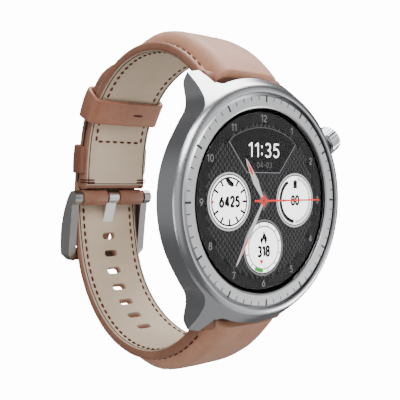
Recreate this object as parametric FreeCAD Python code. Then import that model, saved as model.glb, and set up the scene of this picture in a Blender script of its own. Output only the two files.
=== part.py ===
"""Round smartwatch with a buckled leather strap, modelled in millimetres.

The watch is upright: +Z is 12 o'clock, +X is 3 o'clock (the crown's side) and the face looks along -Y.
The origin is on the axis of the wrist that the strap is buckled round. "Depth" in the names below is
the distance behind the dial plane, and it is turned into Y by adding DIAL_Y.
"""
import FreeCAD, Part
import math
import os

Vec = FreeCAD.Vector

# ---------------------------------------------------------------- driving dimensions
DIAL_Y = -33.0              # Y of the dial plane, which is depth 0

CASE_R = 24.0               # half the case's width at 3 and 9 o'clock
LIP_R = 22.15               # inner edge of the lip round the bezel
RIM_R = 25.15               # rounded rim over the strap ends, at 12 and 6 o'clock
FLANK_DEPTH = 5.2           # depth of the flank's rear edge at 3 and 9 o'clock
LUG_GAP = 11.15             # half the gap between two lugs, for a 22 mm strap
LUG_TIP_Z = 26.5
LUG_REAR_DEPTH = 9.4
CAVITY_R = 20.2
CAVITY_TOP, CAVITY_FLOOR = 1.45, 7.0
BACK_R = 18.6               # back cover

GLASS_R = 18.9
GLASS_TOP, GLASS_BOTTOM = -0.35, 0.45
CHAPTER_DEPTH = -0.42       # flat top of the bezel, where the minute marks are cut
MARK_R = 20.75              # middle of the minute marks

CROWN_ANGLE = 30.0          # degrees above 3 o'clock
CROWN_DEPTH = 2.9
CROWN_R = 3.1
CROWN_IN, CROWN_OUT = 24.55, 28.2
CROWN_TRAVEL = 0.4
FLUTES = 26
STEM_R = 0.9
RUNNING = 0.04              # radial clearance of a shaft that turns in its bush

BAR_DEPTH, BAR_Z = 7.4, 24.6     # axis of each spring bar
BAR_R, BAR_BORE_R = 0.75, 0.55
TIP_R = 0.5
BARREL_R = 1.9                   # strap end that is wrapped round the spring bar
RELEASE_TRAVEL = 1.5

STRAP_PLAN = [(-3.0, 10.95), (9.0, 10.95), (36.0, 9.75), (52.0, 9.3), (75.0, 9.25)]   # depth, half width
LINING_T = 0.8
EDGE_T = 2.1                # thickness along the stitched edges
PAD_T = 5.1                 # thickness at the crown of the padding
PAD_HALF = 8.4              # half the width of the padding
TAIL_T = 2.0
LAYER_GAP = 0.12            # between the strap and the tail that lies on it

# the wrist side of each strap half: start (depth, |z|), heading in degrees, then (radius, turn)
UPPER_RUN = ((8.8, 24.6), 47.0, [(27.0, 58.0), (24.5, 68.0), (63.0, 11.0)])
LOWER_RUN = ((10.1, 25.1), 47.4, [(28.9, 48.8), (26.1, 74.0), (62.8, 14.6)])

PIN_DEPTH, PIN_Z = 56.4, 0.0     # axis of the buckle's bar
PIN_R = 0.8
WRAP_R = 2.05                    # leather wrapped round the buckle's bar
HOLE_PITCH = 4.7
HOLES = 7                        # free holes; one more holds the tongue
HOLE_HALF, HOLE_R = 1.6, 0.85
FRAME_IN, FRAME_OUT = 9.75, 11.85
TONGUE_HALF, TONGUE_T = 1.5, 1.2
TONGUE_ANGLE = 21.0              # from the hanging strap, outwards
TONGUE_LEN = 17.6
KEEPER_T = 1.1
FREE_KEEPER_S = (43.6, 50.4)     # along the upper strap half
FIXED_KEEPER_Z = (6.0, 12.8)


# ---------------------------------------------------------------- plain solids
def at(x, depth, z):
    """A point given by its depth behind the dial plane."""
    return Vec(x, DIAL_Y + depth, z)


def block(x, depth, z):
    """A box between two values on each axis."""
    (x0, x1), (d0, d1), (z0, z1) = sorted(x), sorted(depth), sorted(z)
    return Part.makeBox(x1 - x0, d1 - d0, z1 - z0, at(x0, d0, z0))


def rod_y(r, d0, d1, x=0.0, z=0.0):
    """A cylinder along Y."""
    return Part.makeCylinder(r, d1 - d0, at(x, d0, z), Vec(0, 1, 0))


def rod_x(r, x0, x1, depth, z):
    """A cylinder along X."""
    return Part.makeCylinder(r, x1 - x0, at(x0, depth, z), Vec(1, 0, 0))


def ring_y(r_in, r_out, d0, d1):
    """A flat ring about the dial's axis."""
    return rod_y(r_out, d0, d1).cut(rod_y(r_in, d0 - 1, d1 + 1))


def turned(profile):
    """A closed outline of (radius, depth) points, turned about the dial's axis."""
    points = [at(r, d, 0) for r, d in profile]
    face = Part.Face(Part.makePolygon(points + [points[0]]))
    return face.revolve(at(0, 0, 0), Vec(0, 1, 0), 360)


def prism_x(points, x0, x1):
    """A closed polygon of (depth, z) points, extruded along X."""
    corners = [at(x0, d, z) for d, z in points]
    return Part.Face(Part.makePolygon(corners + [corners[0]])).extrude(Vec(x1 - x0, 0, 0))


def fuse(shapes):
    """One solid out of several that meet."""
    whole = shapes[0]
    for shape in shapes[1:]:
        whole = whole.fuse(shape)
    return largest(whole)


def group(shapes):
    """Separate solids that share one node."""
    return Part.makeCompound(shapes)


def mirrored_z(shape):
    """The same piece at 6 o'clock."""
    return shape.mirror(at(0, 0, 0), Vec(0, 0, 1))


def largest(shape):
    """The main solid left by a cut, without slivers."""
    return max(shape.Solids, key=lambda solid: solid.Volume)


def save(node, shape):
    """Write one node."""
    shape.exportStep("parts/%s.step" % node)
    print("%-24s solids %2d  volume %9.2f  valid %s"
          % (node, len(shape.Solids), shape.Volume, shape.isValid()))


# ---------------------------------------------------------------- case
def case_outline():
    """Front outline of the case: a round body that flows into four lugs, as one wire in the XZ plane."""
    flare = math.radians(45)                    # where the round body ends
    hollow_r = 9.0                              # concave side between the body and a lug
    lean = math.atan2(1, 4)                     # the lugs' sides lean in towards their tips
    cx, cz = (CASE_R + hollow_r) * math.cos(flare), (CASE_R + hollow_r) * math.sin(flare)
    side = (cx - hollow_r * math.cos(lean), cz - hollow_r * math.sin(lean))
    mid = (math.pi / 4 + lean) / 2
    hollow = (cx - hollow_r * math.cos(mid), cz - hollow_r * math.sin(mid))
    tip_out_z = LUG_TIP_Z - 0.5
    tip_out = (side[0] - (tip_out_z - side[1]) / 4, tip_out_z)
    tip_in = (LUG_GAP, LUG_TIP_Z)
    fillet = 1.3                                # between a lug's inner face and the rim
    fx = LUG_GAP - fillet
    fz = math.sqrt((RIM_R + fillet) ** 2 - fx ** 2)
    turn = math.atan2(fz, fx)
    on_rim = (RIM_R * math.cos(turn), RIM_R * math.sin(turn))
    low = (-math.pi + turn) / 2
    corner = (fx + fillet * math.cos(low), fz + fillet * math.sin(low))
    on_body = (CASE_R * math.cos(flare), CASE_R * math.sin(flare))

    def quarter(sx, sz):
        """Edges from 3 or 9 o'clock to 12 or 6 o'clock."""
        def p(point):
            return at(sx * point[0], -3, sz * point[1])
        half = flare / 2
        early = (CASE_R * math.cos(half), CASE_R * math.sin(half))
        late = (math.pi / 2 + turn) / 2
        over = (RIM_R * math.cos(late), RIM_R * math.sin(late))
        return [Part.Arc(p((CASE_R, 0)), p(early), p(on_body)).toShape(),
                Part.Arc(p(on_body), p(hollow), p(side)).toShape(),
                Part.makeLine(p(side), p(tip_out)),
                Part.makeLine(p(tip_out), p(tip_in)),
                Part.makeLine(p(tip_in), p((LUG_GAP, fz))),
                Part.Arc(p((LUG_GAP, fz)), p(corner), p(on_rim)).toShape(),
                Part.Arc(p(on_rim), p(over), p((0, RIM_R))).toShape()]

    edges = []
    for sx, sz in ((1, 1), (-1, 1), (1, -1), (-1, -1)):
        edges += quarter(sx, sz)
    return Part.Wire(Part.__sortEdges__(edges))


def shoulder():
    """Everything behind the domed front surface, which falls away towards the lug tips."""
    dome = [(LIP_R + 0.35, -0.72), (23.0, -0.55), (23.6, -0.2), (24.4, 0.8), (25.4, 2.3),
            (26.6, 4.1), (28.0, 6.5), (30.4, 10.6)]
    curve = Part.BSplineCurve()
    curve.interpolate([at(r, d, 0) for r, d in dome])
    start, end = at(dome[0][0], dome[0][1], 0), at(dome[-1][0], dome[-1][1], 0)
    axis_front, axis_rear = at(0, -0.72, 0), at(0, 13, 0)
    edges = [Part.makeLine(axis_front, start), curve.toShape(), Part.makeLine(end, at(30.4, 13, 0)),
             Part.makeLine(at(30.4, 13, 0), axis_rear), Part.makeLine(axis_rear, axis_front)]
    return Part.Face(Part.Wire(edges)).revolve(at(0, 0, 0), Vec(0, 1, 0), 360)


def rear_profile():
    """Side outline: shallow across the middle, deeper along the lugs, cut back at their tips."""
    run = [(13.0, 5.2), (16.0, 5.75), (19.0, 6.95), (21.5, 8.3), (23.6, LUG_REAR_DEPTH)]
    curve = Part.BSplineCurve()
    curve.interpolate([at(-40, d, z) for z, d in run])
    back = Part.BSplineCurve()
    back.interpolate([at(-40, d, -z) for z, d in reversed(run)])
    flank_top, flank_low = at(-40, FLANK_DEPTH, 13.0), at(-40, FLANK_DEPTH, -13.0)
    lug_top, lug_low = at(-40, LUG_REAR_DEPTH, 23.6), at(-40, LUG_REAR_DEPTH, -23.6)
    corners = [lug_top, at(-40, LUG_REAR_DEPTH + 0.1, 24.6), at(-40, 8.1, 27.5), at(-40, -3, 27.5),
               at(-40, -3, -27.5), at(-40, 8.1, -27.5), at(-40, LUG_REAR_DEPTH + 0.1, -24.6), lug_low]
    edges = [curve.toShape()] + [Part.makeLine(a, b) for a, b in zip(corners, corners[1:])]
    edges += [back.toShape(), Part.makeLine(flank_low, flank_top)]
    return Part.Face(Part.Wire(Part.__sortEdges__(edges))).extrude(Vec(80, 0, 0))


def along_crown(shape):
    """Move a piece built along +X at the origin onto the crown's axis."""
    shape = shape.copy()
    shape.rotate(Vec(0, 0, 0), Vec(0, 1, 0), -CROWN_ANGLE)
    shape.translate(at(0, CROWN_DEPTH, 0))
    return shape


def crown_rod(r, x0, x1):
    """A cylinder on the crown's axis, from one distance off the dial's centre to another."""
    return along_crown(Part.makeCylinder(r, x1 - x0, Vec(x0, 0, 0), Vec(1, 0, 0)))


def back_screw_places():
    """Four screws through the back cover, on the diagonals."""
    angles = [math.radians(a) for a in (45, 135, 225, 315)]
    return [(16.2 * math.cos(a), 16.2 * math.sin(a)) for a in angles]


def mid_case():
    """The metal body with its lugs, bored for everything that it holds."""
    body = Part.Face(case_outline()).extrude(Vec(0, 16, 0)).common(shoulder()).common(rear_profile())
    cone = turned([(0, 4.6), (CASE_R - 0.05, 4.6), (CASE_R - 0.05, FLANK_DEPTH), (19.7, 8.75), (19.4, 8.95),
                   (0, 8.95)])
    body = body.fuse(cone)
    for sign in (1, -1):                       # room for the strap's end, under the rim
        body = body.cut(block((-LUG_GAP, LUG_GAP), (3.0, 14), (sign * 21.9, sign * 32)))
        bar = rod_x(0.55, -LUG_GAP - 1.35, LUG_GAP + 1.35, BAR_DEPTH, sign * BAR_Z)
        body = body.cut(bar)
    body = body.cut(rod_y(LIP_R, -2, CAVITY_TOP))
    body = body.cut(rod_y(CAVITY_R, CAVITY_TOP - 0.1, CAVITY_FLOOR))
    body = body.cut(rod_y(14.9, CAVITY_FLOOR - 0.1, 12))
    body = body.cut(rod_y(BACK_R + 0.05, 7.8, 12))
    body = body.cut(ring_y(17.65, 18.35, 7.1, 8))
    for x, z in back_screw_places():
        body = body.cut(rod_y(0.62, CAVITY_FLOOR - 1, 12, x, z))
    body = body.cut(crown_rod(1.35, 18, 30))
    for z in (-12.4, -11.0, -9.6):             # outlet of the loudspeaker
        body = body.cut(rod_x(0.35, 15, 30, 3.2, z))
    body = body.cut(rod_x(0.3, 15, 30, 3.2, -3.0))     # inlet of the microphone
    return largest(body)


def bezel_ring():
    """Chapter ring round the glass, with sixty cut minute marks, the hours longer and wider."""
    ring = turned([(18.2, 0.55), (GLASS_R + 0.1, 0.55), (GLASS_R + 0.1, -0.2), (19.3, CHAPTER_DEPTH),
                   (21.3, CHAPTER_DEPTH), (21.85, 0.0), (21.85, 0.6), (LIP_R - 0.05, 0.6),
                   (LIP_R - 0.05, 1.4), (18.2, 1.4)])
    cuts = []
    for minute in range(60):
        hour = minute % 5 == 0
        width, reach = (0.36, 0.72) if hour else (0.16, 0.42)
        mark = Part.makeBox(width, 0.6, 2 * reach, Vec(-width / 2, -0.45, MARK_R - reach + 0.1))
        mark.rotate(Vec(0, 0, 0), Vec(0, 1, 0), 6 * minute)
        mark.translate(at(0, CHAPTER_DEPTH, 0))
        cuts.append(mark)
    return ring.cut(Part.makeCompound(cuts))


def front_group():
    """Bezel, glass, display and what joins them."""
    save("bezel_ring", bezel_ring())
    save("cover_glass", turned([(0, GLASS_TOP), (GLASS_R - 0.2, GLASS_TOP), (GLASS_R, GLASS_TOP + 0.15),
                                (GLASS_R, GLASS_BOTTOM), (0, GLASS_BOTTOM)]))
    save("glass_gasket", ring_y(18.2, GLASS_R, GLASS_BOTTOM, 0.55))
    save("display_module", rod_y(18.1, 0.5, 1.7))
    flex = block((-3, 3), (1.7, 1.85), (-17.5, -9)).fuse(block((-3, 3), (1.7, 6.4), (-17.7, -17.5)))
    save("display_flex", flex)


def inner_group():
    """Chassis, battery, boards and small electronics."""
    tray = ring_y(18.4, CAVITY_R - 0.1, 1.95, 6.9).fuse(ring_y(17.0, CAVITY_R - 0.1, 1.95, 2.7))
    tray = tray.cut(block((-3.4, 3.4), (1.0, 8), (-18.6, -15)))
    tray = tray.cut(crown_rod(2.6, 12, 24))
    tray = tray.cut(block((9.0, 22), (2.7, 8), (-13.2, -1.6)))
    save("inner_chassis", largest(tray))
    battery = block((-13.5, 8.5), (3.0, 6.2), (-12.5, 9.5))
    upright = [edge for edge in battery.Edges if abs(edge.Vertexes[0].Y - edge.Vertexes[-1].Y) > 2]
    save("battery", battery.makeFillet(2.5, upright))
    board = rod_y(16.9, 6.35, 6.95).cut(block((-3.4, 3.4), (6, 8), (-18.6, -16.4)))
    save("main_board", board)
    save("board_shields", group([block((-9.5, -2), (6.98, 7.7), (2, 10.5)), block((1, 9), (6.98, 7.7), (4, 10.5)),
                                 block((-11, -4), (6.98, 7.7), (-9, -1))]))
    save("vibration_motor", rod_y(3.8, 3.3, 6.0, x=-1.0, z=13.6))
    speaker = block((9.4, 15.4), (3.0, 5.8), (-12.0, -5.2))
    save("loudspeaker", speaker)
    save("microphone", block((16.2, 17.8), (2.75, 3.8), (-4.2, -2.2)))
    antenna = ring_y(17.9, 18.3, 2.8, 5.6).cut(block((-20, 20), (2, 7), (-20, 3)))
    antenna = antenna.cut(block((10, 20), (2, 7), (2, 16)))
    save("antenna", largest(antenna))


def back_group():
    """Back cover with its seal, the optical sensor and the charging contacts."""
    contacts = [(-3.0, -15.0), (3.0, -15.0)]
    screws = back_screw_places()
    cover = turned([(10.6, 7.85), (BACK_R, 7.85), (BACK_R, 8.8), (BACK_R - 0.4, 9.15), (12.9, 9.6), (12.05, 9.6),
                    (12.05, 9.0), (10.6, 9.0)])
    for x, z in contacts:
        cover = cover.cut(rod_y(0.95, 7, 11, x, z))
    for x, z in screws:
        cover = cover.cut(rod_y(0.62, 7, 11, x, z)).cut(rod_y(1.2, 8.7, 11, x, z))
    save("back_cover", cover)
    save("back_seal", Part.makeTorus(18.0, 0.32, at(0, 7.42, 0), Vec(0, 1, 0)).common(ring_y(17, 19, 7.15, 7.8)))
    save("sensor_window", turned([(0, 9.05), (12.0, 9.05), (12.0, 9.65), (8.5, 10.6), (0, 10.6)]))
    save("sensor_board", rod_y(9.6, 7.85, 8.35))
    holes = [(0.0, 0.0)] + [(6.0 * math.cos(math.radians(a)), 6.0 * math.sin(math.radians(a)))
                            for a in (0, 90, 180, 270)]
    barrier = rod_y(9.6, 8.37, 8.98)
    for x, z in holes:
        barrier = barrier.cut(rod_y(1.7, 8, 10, x, z))
    save("optical_barrier", barrier)
    save("sensor_emitters", group([block((x - 0.9, x + 0.9), (8.37, 8.85), (z - 0.9, z + 0.9)) for x, z in holes]))
    save("charging_contacts", group([rod_y(0.9, 7.9, 9.45, x, z) for x, z in contacts]))
    screw = [rod_y(0.6, 7.05, 8.75, x, z).fuse(rod_y(1.1, 8.72, 9.2, x, z)) for x, z in screws]
    slots = [block((x - 1.3, x + 1.3), (8.95, 10), (z - 0.15, z + 0.15)) for x, z in screws]
    save("back_screws", group([body.cut(slot) for body, slot in zip(screw, slots)]))


def crown_group():
    """Fluted crown on a stem that turns and pushes in."""
    head = Part.makeCylinder(CROWN_R, CROWN_OUT - CROWN_IN, Vec(CROWN_IN, 0, 0), Vec(1, 0, 0))
    rims = [edge for edge in head.Edges if len(edge.Vertexes) == 1 or edge.isClosed()]
    head = head.makeChamfer(0.35, [edge for edge in rims if edge.BoundBox.XLength < 0.01])
    flute_r = 0.24
    for i in range(FLUTES):
        angle = 2 * math.pi * i / FLUTES
        seat = Vec(CROWN_IN + 0.55, CROWN_R * math.cos(angle), CROWN_R * math.sin(angle))
        head = head.cut(Part.makeCylinder(flute_r, CROWN_OUT, seat, Vec(1, 0, 0)))
    dish = Part.makeCylinder(2.0, 1.0, Vec(CROWN_OUT - 0.25, 0, 0), Vec(1, 0, 0))
    socket = Part.makeCylinder(STEM_R, 2.0, Vec(CROWN_IN - 1, 0, 0), Vec(1, 0, 0))
    save("crown", along_crown(head.cut(dish).cut(socket)))
    save("crown_cap", crown_rod(1.95, CROWN_OUT - 0.25, CROWN_OUT - 0.05))
    stem = crown_rod(STEM_R, 17.6, CROWN_IN + 1.0)
    for x in (21.2, 22.4):
        stem = stem.cut(crown_rod(2, x, x + 0.34).cut(crown_rod(0.66, x - 1, x + 2)))
    stem = stem.cut(crown_rod(2, 19.3, 19.7).cut(crown_rod(0.62, 17, 21)))
    save("crown_stem", stem)
    seals = [along_crown(Part.makeTorus(0.79, 0.12, Vec(x + 0.17, 0, 0), Vec(1, 0, 0))) for x in (21.2, 22.4)]
    save("crown_seals", group(seals))
    clip = crown_rod(1.25, 19.35, 19.65).cut(crown_rod(0.64, 18, 20))
    gap = along_crown(Part.makeBox(3, 0.9, 4, Vec(18, -0.45, 0)))
    save("crown_clip", largest(clip.cut(gap)))
    tube = crown_rod(1.35, 19.75, 23.9).cut(crown_rod(STEM_R + RUNNING, 19, 25))
    save("crown_tube", tube)
    save("crown_pusher", crown_rod(1.1, 17.0, 17.55))
    pad = along_crown(Part.makeBox(0.9, 2.2, 4.0, Vec(15.2, -1.1, -2.0)))
    save("crown_switch", pad.fuse(crown_rod(1.0, 16.0, 16.5)))


# ---------------------------------------------------------------- strap lanes
class Lane:
    """The wrist side of one strap half: tangent arcs in the (depth, z) plane, by distance from the lugs."""

    def __init__(self, run, sign):
        self.start, heading, self.arcs = run
        self.heading = math.radians(heading)
        self.sign = sign
        self.length = sum(radius * math.radians(turn) for radius, turn in self.arcs)

    def locate(self, s):
        """Centre of the arc at s, its radius and the heading there, all before mirroring."""
        depth, z = self.start
        angle, left = self.heading, max(s, 0.0)
        for radius, turn in self.arcs:
            turn = math.radians(turn)
            centre = (depth + radius * math.sin(angle), z - radius * math.cos(angle))
            if left <= radius * turn:
                return centre, radius, angle - left / radius
            left -= radius * turn
            angle -= turn
            depth, z = centre[0] - radius * math.sin(angle), centre[1] + radius * math.cos(angle)
        return (depth + radius * math.sin(angle), z - radius * math.cos(angle)), radius, angle

    def point(self, s, n):
        """The (depth, z) point at distance s along the lane and n outwards from it."""
        centre, radius, angle = self.locate(min(s, self.length))
        out = (-math.sin(angle), math.cos(angle))
        depth, z = centre[0] + (radius + n) * out[0], centre[1] + (radius + n) * out[1]
        over = s if s < 0 else max(0.0, s - self.length)
        depth, z = depth + over * math.cos(angle), z + over * math.sin(angle)
        return depth, self.sign * z


UPPER, LOWER = Lane(UPPER_RUN, 1), Lane(LOWER_RUN, -1)


def smooth(x, x0, x1):
    """0 before x0, 1 after x1 and an even blend between them."""
    t = min(1.0, max(0.0, (x - x0) / (x1 - x0)))
    return t * t * (3 - 2 * t)


def steps(s0, s1, pitch=1.2):
    count = max(3, int(round(abs(s1 - s0) / pitch)))
    return [s0 + (s1 - s0) * i / count for i in range(count + 1)]


def pad_top(s):
    """Outer side of the padded part, which thins out along the strap."""
    return PAD_T - (PAD_T - EDGE_T + 0.25) * smooth(s, 19.0, 37.0)


def buckle_build_up(s):
    """How much the upper half thickens where it is folded round the buckle's bar."""
    return (2 * WRAP_R - EDGE_T) * smooth(s, UPPER.length - 13.0, UPPER.length - 1.5)


def ribbon(inner, outer, half):
    """A solid between two rows of (depth, z) points, extruded to both sides."""
    edges = []
    for row in (inner, outer):
        curve = Part.BSplineCurve()
        curve.interpolate([at(-half, d, z) for d, z in row])
        edges.append(curve.toShape())
    for a, b in ((inner[0], outer[0]), (inner[-1], outer[-1])):
        edges.append(Part.makeLine(at(-half, *a), at(-half, *b)))
    face = Part.Face(Part.Wire(Part.__sortEdges__(edges)))
    return face.extrude(Vec(2 * half, 0, 0))


def band(lane, s0, s1, inner, outer, half=11.5):
    """A layer of a strap half; inner and outer give its two sides as functions of s."""
    run = steps(s0, s1)
    return ribbon([lane.point(s, inner(s)) for s in run], [lane.point(s, outer(s)) for s in run], half)


def plan_cut(shape, inset=0.0):
    """Trim a layer to the strap's tapering width."""
    side = [(d, w - inset) for d, w in STRAP_PLAN]
    outline = [Vec(w, DIAL_Y + d, -60) for d, w in side] + [Vec(-w, DIAL_Y + d, -60) for d, w in reversed(side)]
    prism = Part.Face(Part.makePolygon(outline + [outline[0]])).extrude(Vec(0, 0, 120))
    return largest(shape.common(prism))


def tail_row(s0, outward):
    """Points along the lower half and its tail, which lies over the upper half past the buckle's bar."""
    row = [LOWER.point(s, outward(s)) for s in steps(s0, LOWER.length - 2.0)]
    for s in steps(UPPER.length - 5.0, TAIL_END_S, 1.6):
        lift = max(EDGE_T, pad_top(s)) + LAYER_GAP + buckle_build_up(s)
        row.append(UPPER.point(s, lift + outward(LOWER.length)))
    return row


TAIL_END_S = 34.5            # along the upper half, where the tail's tip lies
LUG_END_S = -2.6


def lug_end(lane_sign, half):
    """The end of a strap half that wraps its spring bar."""
    return rod_x(BARREL_R, -half, half, BAR_DEPTH, lane_sign * BAR_Z)


def bar_bore(lane_sign):
    return rod_x(BAR_R + 0.04, -12, 12, BAR_DEPTH, lane_sign * BAR_Z)


def lever_slot(lane_sign):
    """The cut on the wrist side in which the release lever slides."""
    slot = Part.makeBox(5.2, 4.5, 1.5, Vec(1.6, 0.0, -0.75))
    slot.rotate(Vec(0, 0, 0), Vec(1, 0, 0), -43)
    slot.translate(at(0, BAR_DEPTH, BAR_Z))
    return slot if lane_sign > 0 else mirrored_z(slot)


def tongue_box(half, grow, angle, start, length):
    """A straight bar that leaves the buckle's bar at an angle, for the tongue and for its slot."""
    bar = Part.makeBox(2 * half, TONGUE_T + 2 * grow, length, Vec(-half, -TONGUE_T / 2 - grow, -start - length))
    bar.rotate(Vec(0, 0, 0), Vec(1, 0, 0), angle)
    bar.translate(at(0, PIN_DEPTH, PIN_Z))
    return bar


def strap_hole(s):
    """An oblong hole through the lower half at distance s along it."""
    inner, outer = LOWER.point(s, -2.0), LOWER.point(s, 5.0)
    start, end = at(0, *inner), at(0, *outer)
    axis = end - start
    shapes = []
    for x in (-HOLE_HALF, HOLE_HALF):
        shapes.append(Part.makeCylinder(HOLE_R, axis.Length, start + Vec(x, 0, 0), axis))
    middle = Part.makeBox(2 * HOLE_HALF, axis.Length, 2 * HOLE_R, Vec(-HOLE_HALF, 0, -HOLE_R))
    turn = math.degrees(math.atan2(axis.z, axis.y))
    middle.rotate(Vec(0, 0, 0), Vec(1, 0, 0), turn)
    middle.translate(start)
    return fuse([middle] + shapes)


def tail_tip():
    """Everything beyond the rounded point of the tail."""
    keep = block((-12, 12), (30, 70), (-60, 60))
    centre_depth = UPPER.point(TAIL_END_S + 9.0, 0)[0]
    reach = UPPER.point(TAIL_END_S, 0)[0]
    disc = Part.makeCylinder(9.4, 120, Vec(0, DIAL_Y + centre_depth, -60), Vec(0, 0, 1))
    upper_only = block((-12, 12), (reach - 5, centre_depth), (0, 60))
    return upper_only.common(keep).cut(disc)


def fixed_keeper_lane():
    """Where the fixed keeper lies along the upper half: the s at the two heights of its ends."""
    found = []
    for height in FIXED_KEEPER_Z:
        s = UPPER.length
        while UPPER.point(s, 0)[1] < height:
            s -= 0.05
        found.append(s)
    return min(found), max(found)


def keeper_loop(s0, s1, n_in, n_out, half):
    """A band round the strap: its outer form less the space inside it."""
    skin = band(UPPER, s0, s1, lambda s: n_in(s) - KEEPER_T, lambda s: n_out(s) + KEEPER_T, half + KEEPER_T)
    hole = band(UPPER, s0 - 1, s1 + 1, n_in, n_out, half)
    return skin.cut(hole)


def over_tail(s):
    """Outer side of the tail, measured from the upper half's lane."""
    return EDGE_T + LAYER_GAP + buckle_build_up(s) + TAIL_T


def keepers():
    """The free keeper, which slides, and the fixed one, whose ends are sewn in under the lining."""
    side = 9.45
    free = keeper_loop(*FREE_KEEPER_S, lambda s: -0.18, lambda s: over_tail(s) + 0.18, side + 0.2)
    s0, s1 = fixed_keeper_lane()
    thin = 0.5
    outer = band(UPPER, s0, s1, lambda s: LINING_T + 0.02, lambda s: over_tail(s) + 0.15 + KEEPER_T, side + KEEPER_T)
    hole = band(UPPER, s0 - 1, s1 + 1, lambda s: LINING_T + 0.02 + thin, lambda s: over_tail(s) + 0.15, side + 0.1)
    return free, outer.cut(hole), (s0, s1, thin)


def strap_group():
    """Both strap halves: lining, padding and outer leather, with their keepers."""
    free_keeper, fixed_keeper, (k0, k1, thin) = keepers()
    save("free_keeper", free_keeper)
    save("fixed_keeper", fixed_keeper)

    lining = band(UPPER, -0.6, UPPER.length - 0.6, lambda s: 0.0, lambda s: LINING_T)
    lining = plan_cut(lining, 0.15).cut(rod_x(BARREL_R + 0.02, -12, 12, BAR_DEPTH, BAR_Z))
    lining = largest(lining.cut(lever_slot(1)))
    save("upper_strap_lining", lining)
    sheet = band(UPPER, LUG_END_S, UPPER.length + 0.2, lambda s: LINING_T / 2, lambda s: EDGE_T + buckle_build_up(s))
    crown = band(UPPER, LUG_END_S + 0.3, 38.0, lambda s: LINING_T, pad_top, PAD_HALF)
    core = band(UPPER, 1.2, 34.0, lambda s: LINING_T / 2, lambda s: pad_top(s) - 1.2, PAD_HALF - 1.0)
    core = core.cut(rod_x(BARREL_R + 0.05, -12, 12, BAR_DEPTH, BAR_Z)).cut(lining)
    save("upper_strap_padding", largest(core))
    wrap = rod_x(WRAP_R, -9.3, 9.3, PIN_DEPTH, PIN_Z)
    leather = fuse([plan_cut(sheet), crown, wrap, lug_end(1, 10.95)])
    channel = band(UPPER, k0 - 0.1, k1 + 0.1, lambda s: LINING_T - 0.1, lambda s: LINING_T + 0.05 + thin)
    window = block((-2.1, 2.1), (PIN_DEPTH - 3, PIN_DEPTH + 3), (-3, 2.0))
    for hollow in (core, lining, channel, window, rod_x(PIN_R + 0.03, -12, 12, PIN_DEPTH, PIN_Z), bar_bore(1),
                   lever_slot(1)):
        leather = leather.cut(hollow)
    save("upper_strap_leather", largest(leather))

    lining = ribbon(tail_row(0.0, lambda s: 0.0), tail_row(0.0, lambda s: LINING_T), 11.5)
    lining = plan_cut(lining, 0.15).cut(rod_x(BARREL_R + 0.02, -12, 12, BAR_DEPTH, -BAR_Z))
    sheet = ribbon(tail_row(LUG_END_S - 1.2, lambda s: LINING_T / 2), tail_row(LUG_END_S - 1.2, lambda s: EDGE_T),
                   11.5)
    crown = band(LOWER, LUG_END_S - 0.9, 38.0, lambda s: LINING_T, pad_top, PAD_HALF)
    core = band(LOWER, 0.4, 34.0, lambda s: LINING_T / 2, lambda s: pad_top(s) - 1.2, PAD_HALF - 1.0)
    leather = fuse([plan_cut(sheet), crown, lug_end(-1, 10.95)])
    engaged = LOWER.length - 6.6
    cuts = [strap_hole(engaged - HOLE_PITCH * (i + 1)) for i in range(HOLES)]
    cuts += [tongue_box(HOLE_HALF + 0.35, 0.3, angle, 1.0, TONGUE_LEN) for angle in TONGUE_SWEEP]
    cuts += [tail_tip(), lever_slot(-1)]
    for hollow in cuts:
        leather, lining = leather.cut(hollow), lining.cut(hollow)
    lining = largest(lining)
    core = largest(core.cut(rod_x(BARREL_R + 0.05, -12, 12, BAR_DEPTH, -BAR_Z)).cut(lining))
    for hollow in (core, lining, bar_bore(-1)):
        leather = leather.cut(hollow)
    save("lower_strap_lining", lining)
    save("lower_strap_leather", largest(leather))
    save("lower_strap_padding", core)


TONGUE_SWEEP = (TONGUE_ANGLE - 0.6, TONGUE_ANGLE + 1.5, TONGUE_ANGLE + 3.0, TONGUE_ANGLE + 4.4)


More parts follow.
